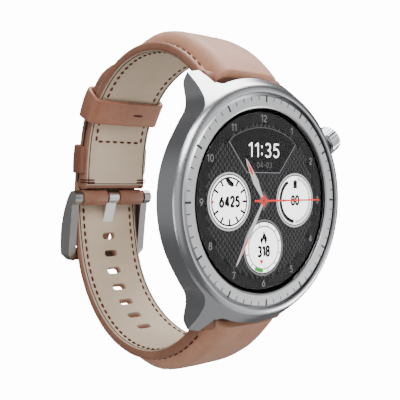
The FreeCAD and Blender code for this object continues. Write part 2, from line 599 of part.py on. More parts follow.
# ---------------------------------------------------------------- buckle and spring bars
def buckle_frame():
    """U-shaped frame that turns on the bar: two bowed arms and the far bar that the tongue rests on."""
    def p(d, z):
        return at(0, d, z)
    inner = Part.Arc(p(56.6, -1.6), p(57.6, -8.2), p(58.4, -14.4)).toShape()
    outer = Part.Arc(p(58.0, 1.0), p(62.3, -8.4), p(62.2, -16.4)).toShape()
    edges = [inner, Part.makeLine(p(58.4, -14.4), p(59.0, -16.4)), Part.makeLine(p(59.0, -16.4), p(62.2, -16.4)),
             outer, Part.makeLine(p(58.0, 1.0), p(56.6, -1.6))]
    side = Part.Face(Part.Wire(Part.__sortEdges__(edges)))
    pieces = []
    for x in (-FRAME_OUT, FRAME_IN):
        arm = side.extrude(Vec(FRAME_OUT - FRAME_IN, 0, 0))
        arm.translate(Vec(x, 0, 0))
        pieces += [arm, rod_x(1.8, x, x + FRAME_OUT - FRAME_IN, PIN_DEPTH, PIN_Z)]
    pieces.append(prism_x([(60.1, -13.4), (60.35, -16.4), (62.2, -16.4), (62.35, -13.4)], -FRAME_OUT, FRAME_OUT))
    frame = fuse(pieces)
    chamfer = 1.6
    for sign in (1, -1):                       # the far corners are cut off
        corner = [Vec(sign * (FRAME_OUT + 1), 0, -16.4 + chamfer + 1), Vec(sign * (FRAME_OUT + 1), 0, -18),
                  Vec(sign * (FRAME_OUT - chamfer - 1.6), 0, -18)]
        wedge = Part.Face(Part.makePolygon(corner + [corner[0]])).extrude(Vec(0, 60, 0))
        frame = frame.cut(wedge)
        frame = frame.cut(rod_x(PIN_R + RUNNING, sign * 9 - 1.9, sign * 9 + 1.9, PIN_DEPTH, PIN_Z))
    notch = tongue_box(TONGUE_HALF + 0.2, 0.05, TONGUE_ANGLE, 5.0, TONGUE_LEN)
    return frame.cut(notch)


def buckle_tongue():
    """Flat tongue whose end is rolled round the bar."""
    roll = rod_x(PIN_R + RUNNING + 0.75, -TONGUE_HALF, TONGUE_HALF, PIN_DEPTH, PIN_Z)
    blade = tongue_box(TONGUE_HALF, 0.0, TONGUE_ANGLE, 0.0, TONGUE_LEN - 0.6)
    whole = fuse([roll, blade]).cut(rod_x(PIN_R + RUNNING, -3, 3, PIN_DEPTH, PIN_Z))
    return largest(whole)


def buckle_group():
    save("buckle_bar", rod_x(PIN_R, -10.75, 10.75, PIN_DEPTH, PIN_Z))
    save("buckle_frame", buckle_frame())
    save("buckle_tongue", buckle_tongue())


def spring_bars():
    """Two sprung bars whose one tip is drawn in by a lever on the wrist side."""
    tube = rod_x(BAR_R, -9.8, 9.8, BAR_DEPTH, BAR_Z).cut(rod_x(BAR_BORE_R, -9.2, 10, BAR_DEPTH, BAR_Z))
    slot = Part.makeBox(3.1, 2.0, 0.9, Vec(2.4, 0.0, -0.45))
    slot.rotate(Vec(0, 0, 0), Vec(1, 0, 0), -43)
    slot.translate(at(0, BAR_DEPTH, BAR_Z))
    tube = tube.cut(slot).fuse(rod_x(TIP_R, -12.3, -9.8, BAR_DEPTH, BAR_Z))
    slider = rod_x(TIP_R, 2.0, 12.3, BAR_DEPTH, BAR_Z)
    lever = Part.makeCylinder(0.33, 2.6, Vec(4.9, 0, 0), Vec(0, 1, 0))
    knob = Part.makeCylinder(0.62, 0.6, Vec(4.9, 2.2, 0), Vec(0, 1, 0))
    lever = lever.fuse(knob)
    lever.rotate(Vec(0, 0, 0), Vec(1, 0, 0), -43)
    lever.translate(at(0, BAR_DEPTH, BAR_Z))
    slider = slider.fuse(lever)
    spring = rod_x(0.46, -8.8, 0.3, BAR_DEPTH, BAR_Z).cut(rod_x(0.3, -9, 1, BAR_DEPTH, BAR_Z))
    for name, place in (("upper", lambda shape: shape), ("lower", mirrored_z)):
        save(name + "_bar_tube", place(tube))
        save(name + "_bar_slider", place(slider))
        save(name + "_bar_spring", place(spring))


def main():
    os.makedirs("parts", exist_ok=True)
    save("mid_case", mid_case())
    front_group()
    inner_group()
    back_group()
    crown_group()
    strap_group()
    buckle_group()
    spring_bars()


main()
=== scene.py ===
"""Looks for the round smartwatch: a steel case with a lit dial on a padded leather strap, buckled shut."""

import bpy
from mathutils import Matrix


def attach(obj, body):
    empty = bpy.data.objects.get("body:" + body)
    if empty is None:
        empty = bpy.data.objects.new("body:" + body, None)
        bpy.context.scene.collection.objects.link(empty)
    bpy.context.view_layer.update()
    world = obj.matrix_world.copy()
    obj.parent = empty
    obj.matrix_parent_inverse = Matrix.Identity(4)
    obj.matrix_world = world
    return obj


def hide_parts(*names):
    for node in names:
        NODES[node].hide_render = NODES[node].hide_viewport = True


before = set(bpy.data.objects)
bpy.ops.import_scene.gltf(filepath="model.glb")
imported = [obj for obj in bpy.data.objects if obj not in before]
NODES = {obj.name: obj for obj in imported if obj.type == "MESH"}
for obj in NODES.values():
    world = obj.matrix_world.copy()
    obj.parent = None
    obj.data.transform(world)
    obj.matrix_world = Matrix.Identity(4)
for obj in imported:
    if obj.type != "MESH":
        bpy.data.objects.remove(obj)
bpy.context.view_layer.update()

import math
import bmesh
import bpy
from mathutils import Vector, noise

MM = 0.001
DIAL_Y = -33.0                    # the dial plane, which is depth 0


def new_object(name, data):
    made = bpy.data.objects.new(name, data)
    bpy.context.scene.collection.objects.link(made)
    return made


def new_mesh(name, verts, faces):
    """A mesh from points in millimetres."""
    mesh = bpy.data.meshes.new(name)
    mesh.from_pydata([Vector(v) * MM for v in verts], [], faces)
    return mesh


# ---------------------------------------------------------------- camera, lights and stage
CAMERA_PLACE = (-103.8, -132.95, 3.35)      # in millimetres
CAMERA_BACK = (-0.653, -0.757, 0.022)       # the camera looks the opposite way
FOCAL_LENGTH, SENSOR_WIDTH = 63.06, 36.0


def camera():
    back = Vector(CAMERA_BACK).normalized()
    data = bpy.data.cameras.new("camera")
    data.lens, data.sensor_width = FOCAL_LENGTH, SENSOR_WIDTH
    data.clip_start, data.clip_end = 0.005, 20.0
    cam = new_object("camera", data)
    cam.location = Vector(CAMERA_PLACE) * MM
    cam.rotation_mode = "QUATERNION"
    cam.rotation_quaternion = (-back).to_track_quat("-Z", "Y")
    bpy.context.scene.camera = cam


def area_light(name, direction, distance, size, power, colour=(1, 1, 1)):
    """A square softbox that looks at the watch."""
    data = bpy.data.lights.new(name, "AREA")
    data.shape, data.size, data.energy, data.color = "SQUARE", size, power, colour
    light = new_object(name, data)
    away = Vector(direction).normalized()
    light.location = away * distance
    light.rotation_mode = "QUATERNION"
    light.rotation_quaternion = away.to_track_quat("Z", "Y")


# soft lights of the studio: direction, angle where each fades out, angle where it is full, brightness
LOBES = [
    ((0.30, 0.12, 0.94), 31, 13, 13.5),
    ((0.653, -0.757, 0.20), 36, 12, 1.40),
    ((-0.72, 0.70, 0.10), 36, 12, 0.25),
    ((-0.52, -0.85, -0.04), 34, 10, 0.65),
    ((0.55, -0.59, -0.59), 24, 8, 1.0),
]


BACKDROP_SEEN, FLOOR_SEEN = 14.0, 12.0      # brightness to the camera only
FLOOR_RADIUS, FLOOR_Z = 0.30, -0.40         # in metres; low enough to leave the lower lights clear
FLOOR_SIDES = 96


def split_for_camera(nodes, links, lit, seen, into):
    """Show the camera one shader, and let another one light the watch."""
    path = nodes.new("ShaderNodeLightPath")
    mix = nodes.new("ShaderNodeMixShader")
    links.new(path.outputs["Is Camera Ray"], mix.inputs["Fac"])
    links.new(lit.outputs[0], mix.inputs[1])
    links.new(seen.outputs[0], mix.inputs[2])
    links.new(mix.outputs[0], into)


def backdrop():
    """A white backdrop, and the soft studio lights that the metal reflects."""
    world = bpy.data.worlds.new("studio")
    bpy.context.scene.world = world
    world.use_nodes = True
    tree = world.node_tree
    nodes, links = tree.nodes, tree.links
    nodes.clear()
    out = nodes.new("ShaderNodeOutputWorld")
    seen = nodes.new("ShaderNodeBackground")
    seen.inputs["Color"].default_value = (1, 1, 1, 1)
    seen.inputs["Strength"].default_value = BACKDROP_SEEN
    lit = nodes.new("ShaderNodeBackground")
    coord = nodes.new("ShaderNodeTexCoord")
    split = nodes.new("ShaderNodeSeparateXYZ")
    links.new(coord.outputs["Generated"], split.inputs[0])
    rise = nodes.new("ShaderNodeMapRange")
    rise.interpolation_type = "SMOOTHSTEP"
    for key, value in (("From Min", -0.5), ("From Max", 0.9), ("To Min", 0.21), ("To Max", 0.22)):
        rise.inputs[key].default_value = value
    links.new(split.outputs["Z"], rise.inputs["Value"])
    total = rise.outputs[0]
    for direction, far, near, level in LOBES:
        dot = nodes.new("ShaderNodeVectorMath")
        dot.operation = "DOT_PRODUCT"
        links.new(coord.outputs["Generated"], dot.inputs[0])
        dot.inputs[1].default_value = Vector(direction).normalized()
        lobe = nodes.new("ShaderNodeMapRange")
        lobe.interpolation_type = "SMOOTHSTEP"
        for key, angle in (("From Min", far), ("From Max", near)):
            lobe.inputs[key].default_value = math.cos(math.radians(angle))
        lobe.inputs["To Max"].default_value = level
        links.new(dot.outputs["Value"], lobe.inputs["Value"])
        add = nodes.new("ShaderNodeMath")
        add.operation = "ADD"
        links.new(total, add.inputs[0])
        links.new(lobe.outputs[0], add.inputs[1])
        total = add.outputs[0]
    links.new(total, lit.inputs["Strength"])
    split_for_camera(nodes, links, lit, seen, out.inputs["Surface"])


def pale_floor():
    """A round pale floor below the watch."""
    mesh = bpy.data.meshes.new("floor")
    turns = [2 * math.pi * k / FLOOR_SIDES for k in range(FLOOR_SIDES)]
    rim = [(FLOOR_RADIUS * math.cos(t), FLOOR_RADIUS * math.sin(t), FLOOR_Z) for t in turns]
    mesh.from_pydata(rim, [], [tuple(range(FLOOR_SIDES))])
    floor = new_object("floor", mesh)
    mat = bpy.data.materials.new("pale_floor")
    mat.use_nodes = True
    nodes, links = mat.node_tree.nodes, mat.node_tree.links
    bsdf = nodes["Principled BSDF"]
    bsdf.inputs["Base Color"].default_value = (0.20, 0.20, 0.20, 1)
    bsdf.inputs["Roughness"].default_value = 0.9
    grain = nodes.new("ShaderNodeTexNoise")
    grain.inputs["Scale"].default_value = 40.0
    bump = nodes.new("ShaderNodeBump")
    bump.inputs["Strength"].default_value = 0.02
    links.new(grain.outputs["Fac"], bump.inputs["Height"])
    links.new(bump.outputs["Normal"], bsdf.inputs["Normal"])
    glow = nodes.new("ShaderNodeEmission")
    glow.inputs["Strength"].default_value = FLOOR_SEEN
    split_for_camera(nodes, links, bsdf, glow, nodes["Material Output"].inputs["Surface"])
    mesh.materials.append(mat)


def softboxes():
    area_light("key_softbox", (-0.35, -0.70, 0.62), 0.70, 0.35, 3.4)
    area_light("right_fill", (0.90, -0.35, -0.38), 0.80, 0.35, 3.2)
    area_light("left_softbox", (-1.0, -0.30, -0.20), 0.80, 0.45, 2.6)


# ---------------------------------------------------------------- materials
def srgb(r, g, b):
    """Linear colour of an 8-bit sRGB one."""
    def lin(v):
        v = v / 255.0
        return v / 12.92 if v <= 0.04045 else ((v + 0.055) / 1.055) ** 2.4
    return (lin(r), lin(g), lin(b), 1.0)


def dimmed(colour, share):
    return tuple(c * share for c in colour[:3]) + (1,)


class Shader:
    """A Principled material with helpers for its procedural detail, all in row-frame coordinates."""

    def __init__(self, name, **values):
        self.mat = bpy.data.materials.new(name)
        self.mat.use_nodes = True
        self.nodes, self.links = self.mat.node_tree.nodes, self.mat.node_tree.links
        self.bsdf = self.nodes["Principled BSDF"]
        self.place = self.nodes.new("ShaderNodeTexCoord").outputs["Object"]
        for key, value in values.items():
            self.bsdf.inputs[key.replace("_", " ")].default_value = value

    def node(self, kind, **values):
        made = self.nodes.new("ShaderNode" + kind)
        for key, value in values.items():
            made.inputs[key.replace("_", " ")].default_value = value
        return made

    def join(self, out, into):
        self.links.new(out, into)

    def noise(self, scale, detail=3.0, rough=0.55, place=None):
        made = self.node("TexNoise", Scale=scale, Detail=detail, Roughness=rough)
        self.join(place or self.place, made.inputs["Vector"])
        return made.outputs["Fac"]

    def ramp(self, fac, stops):
        made = self.nodes.new("ShaderNodeValToRGB")
        elements = made.color_ramp.elements
        while len(elements) > 1:
            elements.remove(elements[-1])
        elements[0].position, elements[0].color = stops[0]
        for position, colour in stops[1:]:
            elements.new(position).color = colour
        self.join(fac, made.inputs["Fac"])
        return made.outputs["Color"]

    def span(self, fac, low, high, f0=0.0, f1=1.0):
        made = self.node("MapRange", From_Min=f0, From_Max=f1, To_Min=low, To_Max=high)
        self.join(fac, made.inputs["Value"])
        return made.outputs[0]

    def math(self, how, *values):
        made = self.nodes.new("ShaderNodeMath")
        made.operation = how
        for i, value in enumerate(values):
            if isinstance(value, (int, float)):
                made.inputs[i].default_value = value
            else:
                self.join(value, made.inputs[i])
        return made.outputs[0]

    def bumps(self, *layers):
        """Stacked bumps: (height, distance in mm, strength)."""
        last = None
        for height, distance, strength in layers:
            made = self.node("Bump", Strength=strength, Distance=distance * MM)
            self.join(height, made.inputs["Height"])
            if last:
                self.join(last, made.inputs["Normal"])
            last = made.outputs["Normal"]
        self.join(last, self.bsdf.inputs["Normal"])
        return self

    def colour(self, out):
        self.join(out, self.bsdf.inputs["Base Color"])
        return self

    def rough(self, out):
        self.join(out, self.bsdf.inputs["Roughness"])
        return self


def leather(name, light, dark, rough=0.52, grain=1.0):
    """Smooth calf leather: fine pores, soft creases and a slow change of colour."""
    s = Shader(name, Specular_IOR_Level=0.38, Sheen_Weight=0.06, Sheen_Roughness=0.4)
    slow, fine = s.noise(90, 4), s.noise(1500, 3)
    both = s.math("ADD", s.math("MULTIPLY", slow, 0.7), s.math("MULTIPLY", fine, 0.3))
    s.colour(s.ramp(both, [(0.30, dark), (0.62, light)]))
    s.rough(s.span(fine, rough - 0.07, rough + 0.08, 0.3, 0.7))
    pores = s.nodes.new("ShaderNodeTexVoronoi")
    pores.feature = "DISTANCE_TO_EDGE"
    pores.inputs["Scale"].default_value = 2100
    s.join(s.place, pores.inputs["Vector"])
    cells = s.span(pores.outputs["Distance"], 0.0, 1.0, 0.0, 0.25)
    s.bumps((s.noise(420, 4), 0.10, 0.25 * grain), (cells, 0.018, 0.35 * grain), (fine, 0.02, 0.3 * grain))
    return s.mat


def metal(name, colour, rough, grain, scale):
    """Satin or polished metal, with a slow change of colour and a fine one of gloss."""
    s = Shader(name, Metallic=1.0)
    fine, slow = s.noise(scale, 3, 0.6), s.noise(60, 2)
    s.colour(s.ramp(slow, [(0.3, dimmed(colour, 0.93)), (0.7, colour)]))
    s.rough(s.span(fine, rough - grain * 0.2, rough + grain * 0.2, 0.3, 0.7))
    s.bumps((slow, 0.0004, grain))
    return s.mat


def radial_metal(name, colour, rough, rings):
    """Turned metal whose fine lines run round the dial's axis."""
    s = Shader(name, Metallic=1.0)
    split = s.node("SeparateXYZ")
    s.join(s.place, split.inputs[0])
    x_squared, z_squared = (s.math("POWER", split.outputs[axis], 2.0) for axis in "XZ")
    radius = s.math("SQRT", s.math("ADD", x_squared, z_squared))
    around = s.math("ARCTAN2", split.outputs["Z"], split.outputs["X"])
    join = s.node("CombineXYZ")
    s.join(s.math("MULTIPLY", radius, rings), join.inputs["X"])
    s.join(s.math("MULTIPLY", around, 6.0), join.inputs["Y"])
    lines = s.noise(1.0, 3, 0.6, join.outputs[0])
    s.colour(s.ramp(lines, [(0.25, dimmed(colour, 0.86)), (0.75, colour)]))
    s.rough(s.span(lines, rough - 0.06, rough + 0.08, 0.3, 0.7))
    s.bumps((lines, 0.006, 0.3))
    return s.mat


def plastic(name, colour, rough, grain=0.3):
    s = Shader(name)
    fine = s.noise(1800, 3)
    s.colour(s.ramp(fine, [(0.3, dimmed(colour, 0.85)), (0.7, colour)]))
    s.rough(s.span(fine, rough - 0.06, rough + 0.06, 0.3, 0.7))
    s.bumps((fine, 0.01, grain))
    return s.mat


def lining_leather(name, light, dark):
    """Pale suede-like lining: a soft, fibrous surface."""
    s = Shader(name, Specular_IOR_Level=0.22, Sheen_Weight=0.10)
    fibre, slow = s.noise(2600, 5, 0.7), s.noise(70, 3)
    both = s.math("ADD", s.math("MULTIPLY", slow, 0.6), s.math("MULTIPLY", fibre, 0.4))
    s.colour(s.ramp(both, [(0.30, dark), (0.64, light)]))
    s.rough(s.span(fibre, 0.70, 0.86, 0.3, 0.7))
    s.bumps((s.noise(300, 4), 0.05, 0.2), (fibre, 0.02, 0.5))
    return s.mat


def thread(name, colour):
    s = Shader(name, Specular_IOR_Level=0.25)
    strands = s.noise(5200, 2)
    s.colour(s.ramp(strands, [(0.35, dimmed(colour, 0.55)), (0.65, colour)]))
    s.rough(s.span(strands, 0.55, 0.8, 0.3, 0.7))
    s.bumps((strands, 0.03, 0.8))
    return s.mat


def glow(name, colour, level):
    """A lit area of the display, with the faint unevenness of its grid of dots."""
    s = Shader(name, Base_Color=(0.003, 0.003, 0.003, 1), Roughness=0.5, Specular_IOR_Level=0.1,
               Emission_Strength=level)
    dots = s.noise(9000, 1)
    s.join(s.ramp(dots, [(0.2, dimmed(colour, 0.94)), (0.8, colour)]),
           s.bsdf.inputs["Emission Color"])
    return s.mat


TAN_LIGHT, TAN_DARK = srgb(198, 148, 122), srgb(176, 124, 99)
BROWN_LIGHT, BROWN_DARK = srgb(152, 106, 84), srgb(126, 84, 64)
M = {
    "leather": leather("tan_leather", TAN_LIGHT, TAN_DARK),
    "edge": leather("edge_leather", BROWN_LIGHT, BROWN_DARK, 0.5, 0.8),
    "keeper": leather("keeper_leather", srgb(164, 112, 88), srgb(142, 92, 70), 0.45, 0.8),
    "dark_keeper": leather("dark_keeper_leather", srgb(128, 80, 58), srgb(102, 60, 42), 0.45, 0.8),
    "lining": lining_leather("lining_leather", srgb(206, 187, 163), srgb(188, 168, 144)),
    # the dark line material also draws painted shadow along the upper half's edges, where the tail lies on it
    "crease": plastic("crease_and_shadow_line", srgb(46, 34, 28), 0.8),
    "thread": thread("brown_thread", srgb(98, 50, 34)),
    "case": metal("case_satin", srgb(194, 195, 198), 0.23, 0.05, 1500),
    "bezel": radial_metal("bezel_turned", srgb(205, 206, 208), 0.34, 16000),
    "polished": metal("polished_steel", srgb(205, 206, 210), 0.14, 0.05, 3000),
    "buckle": metal("buckle_satin", srgb(172, 170, 168), 0.26, 0.05, 1500),
    "tongue": metal("tongue_steel", srgb(226, 224, 220), 0.24, 0.05, 1500),
    "rubber": plastic("seal_rubber", srgb(34, 34, 36), 0.7, 0.5),
    "black": plastic("black_plastic", srgb(28, 28, 30), 0.5, 0.3),
    "back": plastic("back_cover_plastic", srgb(62, 64, 68), 0.38, 0.3),
    "board": plastic("green_board", srgb(28, 84, 52), 0.4, 0.5),
    "cell": plastic("battery_wrap", srgb(66, 70, 78), 0.35, 0.3),
    "gold": metal("gold_contact", srgb(220, 178, 98), 0.22, 0.08, 2600),
    "mark": plastic("mark_enamel", srgb(34, 34, 38), 0.5, 0.2),
}


# ---------------------------------------------------------------- meshes
SHARP_FROM = 60.0                   # degrees; a steeper edge is shaded sharp
BOX_FACES = [(0, 1, 2, 3), (7, 6, 5, 4), (0, 4, 5, 1), (1, 5, 6, 2), (2, 6, 7, 3), (3, 7, 4, 0)]


def piece(name, shape, looks, body="watch", index=None):
    """A mesh object on a body, from (verts, faces) in millimetres in the row frame."""
    verts, faces = shape
    mesh = new_mesh(name, verts, faces)
    mesh.validate()
    for look in looks.split():
        mesh.materials.append(M[look])
    if index:
        mesh.polygons.foreach_set("material_index", index)
    bm = bmesh.new()
    bm.from_mesh(mesh)
    bmesh.ops.recalc_face_normals(bm, faces=bm.faces)
    limit = math.radians(SHARP_FROM)
    for face in bm.faces:
        face.smooth = True
    for edge in bm.edges:
        if len(edge.link_faces) == 2:
            edge.smooth = edge.calc_face_angle(0.0) < limit
    bm.to_mesh(mesh)
    bm.free()
    obj = new_object(name, mesh)
    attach(obj, body)
    return obj


def loft(sections, caps=True):
    """Vertices and faces through equal rings of points."""
    count = len(sections[0])
    verts = [p for ring in sections for p in ring]
    faces = []
    for i in range(len(sections) - 1):
        for j in range(count):
            k = (j + 1) % count
            faces.append((i * count + j, i * count + k, (i + 1) * count + k, (i + 1) * count + j))
    if caps:
        faces.append(tuple(range(count)))
        faces.append(tuple((len(sections) - 1) * count + j for j in reversed(range(count))))
    return verts, faces


def merge(parts):
    """Several (verts, faces) as one."""
    verts, faces = [], []
    for v, f in parts:
        base = len(verts)
        verts += v
        faces += [tuple(base + i for i in face) for face in f]
    return verts, faces


def tube(points, radius, sides=8):
    """A round tube through points, with closed ends."""
    rings = []
    last = None
    for i, p in enumerate(points):
        p = Vector(p)
        ahead = Vector(points[min(i + 1, len(points) - 1)]) - Vector(points[max(i - 1, 0)])
        ahead.normalize()
        side = (last - ahead * last.dot(ahead)) if last else ahead.orthogonal()
        side.normalize()
        last = side
        up = ahead.cross(side)
        r = radius[i] if isinstance(radius, list) else radius
        rings.append([p + (side * math.cos(t) + up * math.sin(t)) * r
                      for t in (2 * math.pi * k / sides for k in range(sides))])
    return loft(rings)


def smooth_step(x, x0, x1):
    t = min(1.0, max(0.0, (x - x0) / (x1 - x0)))
    return t * t * (3 - 2 * t)


# ---------------------------------------------------------------- strap geometry, as in the CAD
EDGE_T, PAD_T, TAIL_T, LINING_T, WRAP_R = 2.1, 5.1, 2.0, 0.8, 2.05
LAYER_GAP, TAIL_END = 0.12, 34.5
FLESH_SIDE = 0.76                   # where the leather lies on the lining
PAD_FOOT, PAD_REACH = 1.95, 3.4     # how far in the padding starts, and how far it takes to rise
TOP_INSET = 1.35                    # from the strap's edge to its outer row of stitches
UPPER_INSET, LOWER_INSET = 2.35, 2.05       # to the rows on the lining
LINE_INSET = 0.87                   # to the pressed line on the lining
STITCH_PITCH, STITCH_SHARE, THREAD_R = 2.0, 0.70, 0.29
FREE_KEEPER = (43.6, 50.4)          # along the upper half
FIXED_KEEPER_Z = (6.0, 12.8)
PIN = (56.4, 0.0)
STRAP_PLAN = [(-3.0, 10.95), (9.0, 10.95), (36.0, 9.75), (52.0, 9.3), (75.0, 9.25)]
BAR = (7.4, 24.6)


class Lane:
    """The wrist side of one strap half: tangent arcs in the (depth, z) plane, by distance from the lugs."""

    def __init__(self, start, heading, arcs, sign):
        self.start, self.heading, self.arcs, self.sign = start, math.radians(heading), arcs, sign
        self.length = sum(radius * math.radians(turn) for radius, turn in arcs)

    def point(self, s, n):
        depth, z = self.start
        angle, left = self.heading, min(max(s, 0.0), self.length)
        for radius, turn in self.arcs:
            turn = math.radians(turn)
            centre = (depth + radius * math.sin(angle), z - radius * math.cos(angle))
            if left <= radius * turn + 1e-9:
                angle -= left / radius
                break
            left -= radius * turn
            angle -= turn
            depth, z = centre[0] - radius * math.sin(angle), centre[1] + radius * math.cos(angle)
        depth = centre[0] - (radius + n) * math.sin(angle)
        z = centre[1] + (radius + n) * math.cos(angle)
        over = s if s < 0 else max(0.0, s - self.length)
        return depth + over * math.cos(angle), self.sign * (z + over * math.sin(angle))


UPPER = Lane((8.8, 24.6), 47.0, [(27.0, 58.0), (24.5, 68.0), (63.0, 11.0)], 1)
LOWER = Lane((10.1, 25.1), 47.4, [(28.9, 48.8), (26.1, 74.0), (62.8, 14.6)], -1)


def pad_top(s):
    return PAD_T - (PAD_T - EDGE_T + 0.25) * smooth_step(s, 19.0, 37.0)


def build_up(s):
    return (2 * WRAP_R - EDGE_T) * smooth_step(s, UPPER.length - 13.0, UPPER.length - 1.5)


def catmull(p0, p1, p2, p3, t):
    """A Catmull-Rom curve's value between p1 and p2."""
    return 0.5 * (2 * p1 + (p2 - p0) * t + (2 * p0 - 5 * p1 + 4 * p2 - p3) * t * t
                  + (3 * p1 - p0 - 3 * p2 + p3) * t ** 3)


class Course:
    """A smooth line through (depth, z) points, with its running length and outward side."""

    def __init__(self, points, side):
        self.side = side
        dense = []
        n = len(points)
        for i in range(n - 1):
            p0, p1, p2, p3 = points[max(i - 1, 0)], points[i], points[i + 1], points[min(i + 2, n - 1)]
            for k in range(4):
                t = k / 4
                dense.append(tuple(catmull(p0[a], p1[a], p2[a], p3[a], t) for a in (0, 1)))
        dense.append(points[-1])
        self.points = dense
        self.run = [0.0]
        for a, b in zip(dense, dense[1:]):
            self.run.append(self.run[-1] + math.hypot(b[0] - a[0], b[1] - a[1]))
        self.length = self.run[-1]

    def locate(self, s):
        s = min(max(s, 0.0), self.length)
        low, high = 0, len(self.run) - 1
        while high - low > 1:
            mid = (low + high) // 2
            if self.run[mid] <= s:
                low = mid
            else:
                high = mid
        t = (s - self.run[low]) / max(1e-9, self.run[high] - self.run[low])
        a, b = self.points[low], self.points[high]
        return (a[0] + (b[0] - a[0]) * t, a[1] + (b[1] - a[1]) * t)

    def frame(self, s):
        """The point at s and the outward direction there."""
        a, b = self.locate(s - 0.5), self.locate(s + 0.5)
        size = math.hypot(b[0] - a[0], b[1] - a[1])
        heading = ((b[0] - a[0]) / size, (b[1] - a[1]) / size)
        return self.locate(s), (-heading[1] * self.side, heading[0] * self.side)

    def place(self, s, u, n):
        """The row-frame point, in millimetres, u across the strap and n outwards from its wrist side."""
        (depth, z), out = self.frame(s)
        return (u, DIAL_Y + depth + out[0] * n, z + out[1] * n)


def spaced(a, b, pitch):
    count = max(2, int(round(abs(b - a) / pitch)))
    return [a + (b - a) * i / count for i in range(count + 1)]


UPPER_START, LOWER_START = 2.6, 3.8
upper_course = Course([UPPER.point(s, 0) for s in spaced(-UPPER_START, UPPER.length, 1.0)], 1)
tail_knots = [LOWER.point(s, 0) for s in spaced(-LOWER_START, LOWER.length - 2.0, 1.0)]
for tail_s in spaced(UPPER.length - 5.0, TAIL_END, 1.5):
    tail_knots.append(UPPER.point(tail_s, max(EDGE_T, pad_top(tail_s)) + LAYER_GAP + build_up(tail_s)))
lower_course = Course(tail_knots, -1)
BEND = LOWER_START + LOWER.length          # where the lower half passes the buckle's bar


def half_width(depth):
    """Half the strap's width in plan."""
    for (d0, w0), (d1, w1) in zip(STRAP_PLAN, STRAP_PLAN[1:]):
        if depth <= d1:
            return w0 + (w1 - w0) * max(0.0, (depth - d0) / (d1 - d0))
    return STRAP_PLAN[-1][1]


def upper_width(s):
    return half_width(upper_course.locate(s)[0])


def lower_width(s):
    """The lower half's width, closed to a blunt rounded point at the tail."""
    left = lower_course.length - s
    width = half_width(lower_course.locate(s)[0])
    if left < 9.0:
        t = 1 - left / 9.0
        width = 3.2 + (width - 3.2) * math.sqrt(max(0.0, 1 - t ** 2.6))
    return width


def swell(a, height):
    """Height of the padding a millimetres in from the strap's edge."""
    t = min(1.0, max(0.0, (a - PAD_FOOT) / PAD_REACH))
    return height * (1 - (1 - t) ** 2.4) ** 0.72 if t > 0 else 0.0


def top_height(a, s, u, width, edge_t, pad):
    """Outer side of the leather: rounded edge, pressed stitch line, then the padding's crown."""
    channel = 0.22 * math.exp(-((a - TOP_INSET) / 0.30) ** 2)
    crease = 0.20 * math.exp(-((a - 2.05) / 0.22) ** 2) * min(1.0, pad / 0.8)
    crown = 1 - 0.07 * (u / width) ** 2
    soft = 0.10 * noise.noise(Vector((u * 0.16, s * 0.13, 3.7)))
    soft = soft + 0.05 * noise.noise(Vector((u * 0.5, s * 0.4, 9.1)))
    unevenness = soft * min(1.0, pad / 1.5) * smooth_step(a, 2, 4)
    return edge_t - channel - crease + swell(a, pad) * crown + unevenness


def leather_section(s, width, edge_t, pad):
    """One closed ring (u, n) of the outer leather."""
    ring = []
    r = min(0.75, edge_t / 2 - 0.1)
    steps_in = [0.75, 1.0, 1.2, 1.35, 1.5, 1.7, 1.85, 1.95, 2.05, 2.2, 2.4, 2.7, 3.1, 3.6, 4.2, 5.0, 6.0,
                7.2, 8.6]
    across = [a for a in steps_in if a < width - 0.4] + [width]
    while len(across) < len(steps_in) + 1:
        across.insert(-1, (across[-2] + across[-1]) / 2)
    for sign in (-1, 1):
        side = []
        for a in (0.42, 0.40, 0.30):
            side.append((sign * (width - a), FLESH_SIDE if a > 0.41 else 0.10))
        for k in range(7):
            t = math.pi * k / 12
            side.append((sign * (width - r + r * math.sin(t)), 0.06 + r - r * math.cos(t)))
        for k in range(1, 7):
            t = math.pi / 2 + math.pi * k / 12
            side.append((sign * (width - r + r * math.sin(t)), edge_t - r - r * math.cos(t)))
        for a in across[1:]:
            u = sign * (width - a)
            side.append((u, top_height(a, s, u, width, edge_t, pad)))
        if sign < 0:
            ring += side
        else:
            ring += list(reversed(side))[1:]
    return ring


def strap_leather(course, s0, s1, width_of, edge_of, pad_of):
    """The outer leather of a strap half as one lofted skin."""
    sections = []
    for s in spaced(s0, s1, 0.45):
        width = width_of(s)
        ring = leather_section(s, width, edge_of(s), pad_of(s))
        end = min(s - s0, s1 - s)
        pinch = 1.0 if end > 0.7 else math.sqrt(max(0.0, 1 - (1 - end / 0.7) ** 2)) * 0.35 + 0.65
        mid = edge_of(s) / 2
        narrow = 0.97 + 0.03 * pinch
        sections.append([course.place(s, u * narrow, mid + (n - mid) * pinch) for u, n in ring])
    return loft(sections)


def strap_lining(course, s0, s1, width_of, thick=0.78, inset=0.32):
    """The wrist side's lining, slightly rounded at its edges."""
    sections = []
    for s in spaced(s0, s1, 0.6):
        w = width_of(s) - inset
        ring = [(-w, thick), (-w, 0.22), (-w + 0.10, 0.05), (-w + 0.3, -0.01)]
        for a in (0.42, 0.55, 0.68, 0.9, 1.25, 1.5, 1.75, 2.2, 3.5, 6.0):
            dip = 0.07 * math.exp(-((a - 0.55) / 0.10) ** 2) + 0.10 * math.exp(-((a - 1.5) / 0.28) ** 2)
            ring.append((-w + a, dip - 0.01))
        ring += [(-u, n) for u, n in reversed(ring)]
        sections.append([course.place(s, u, n) for u, n in ring])
    return loft(sections)


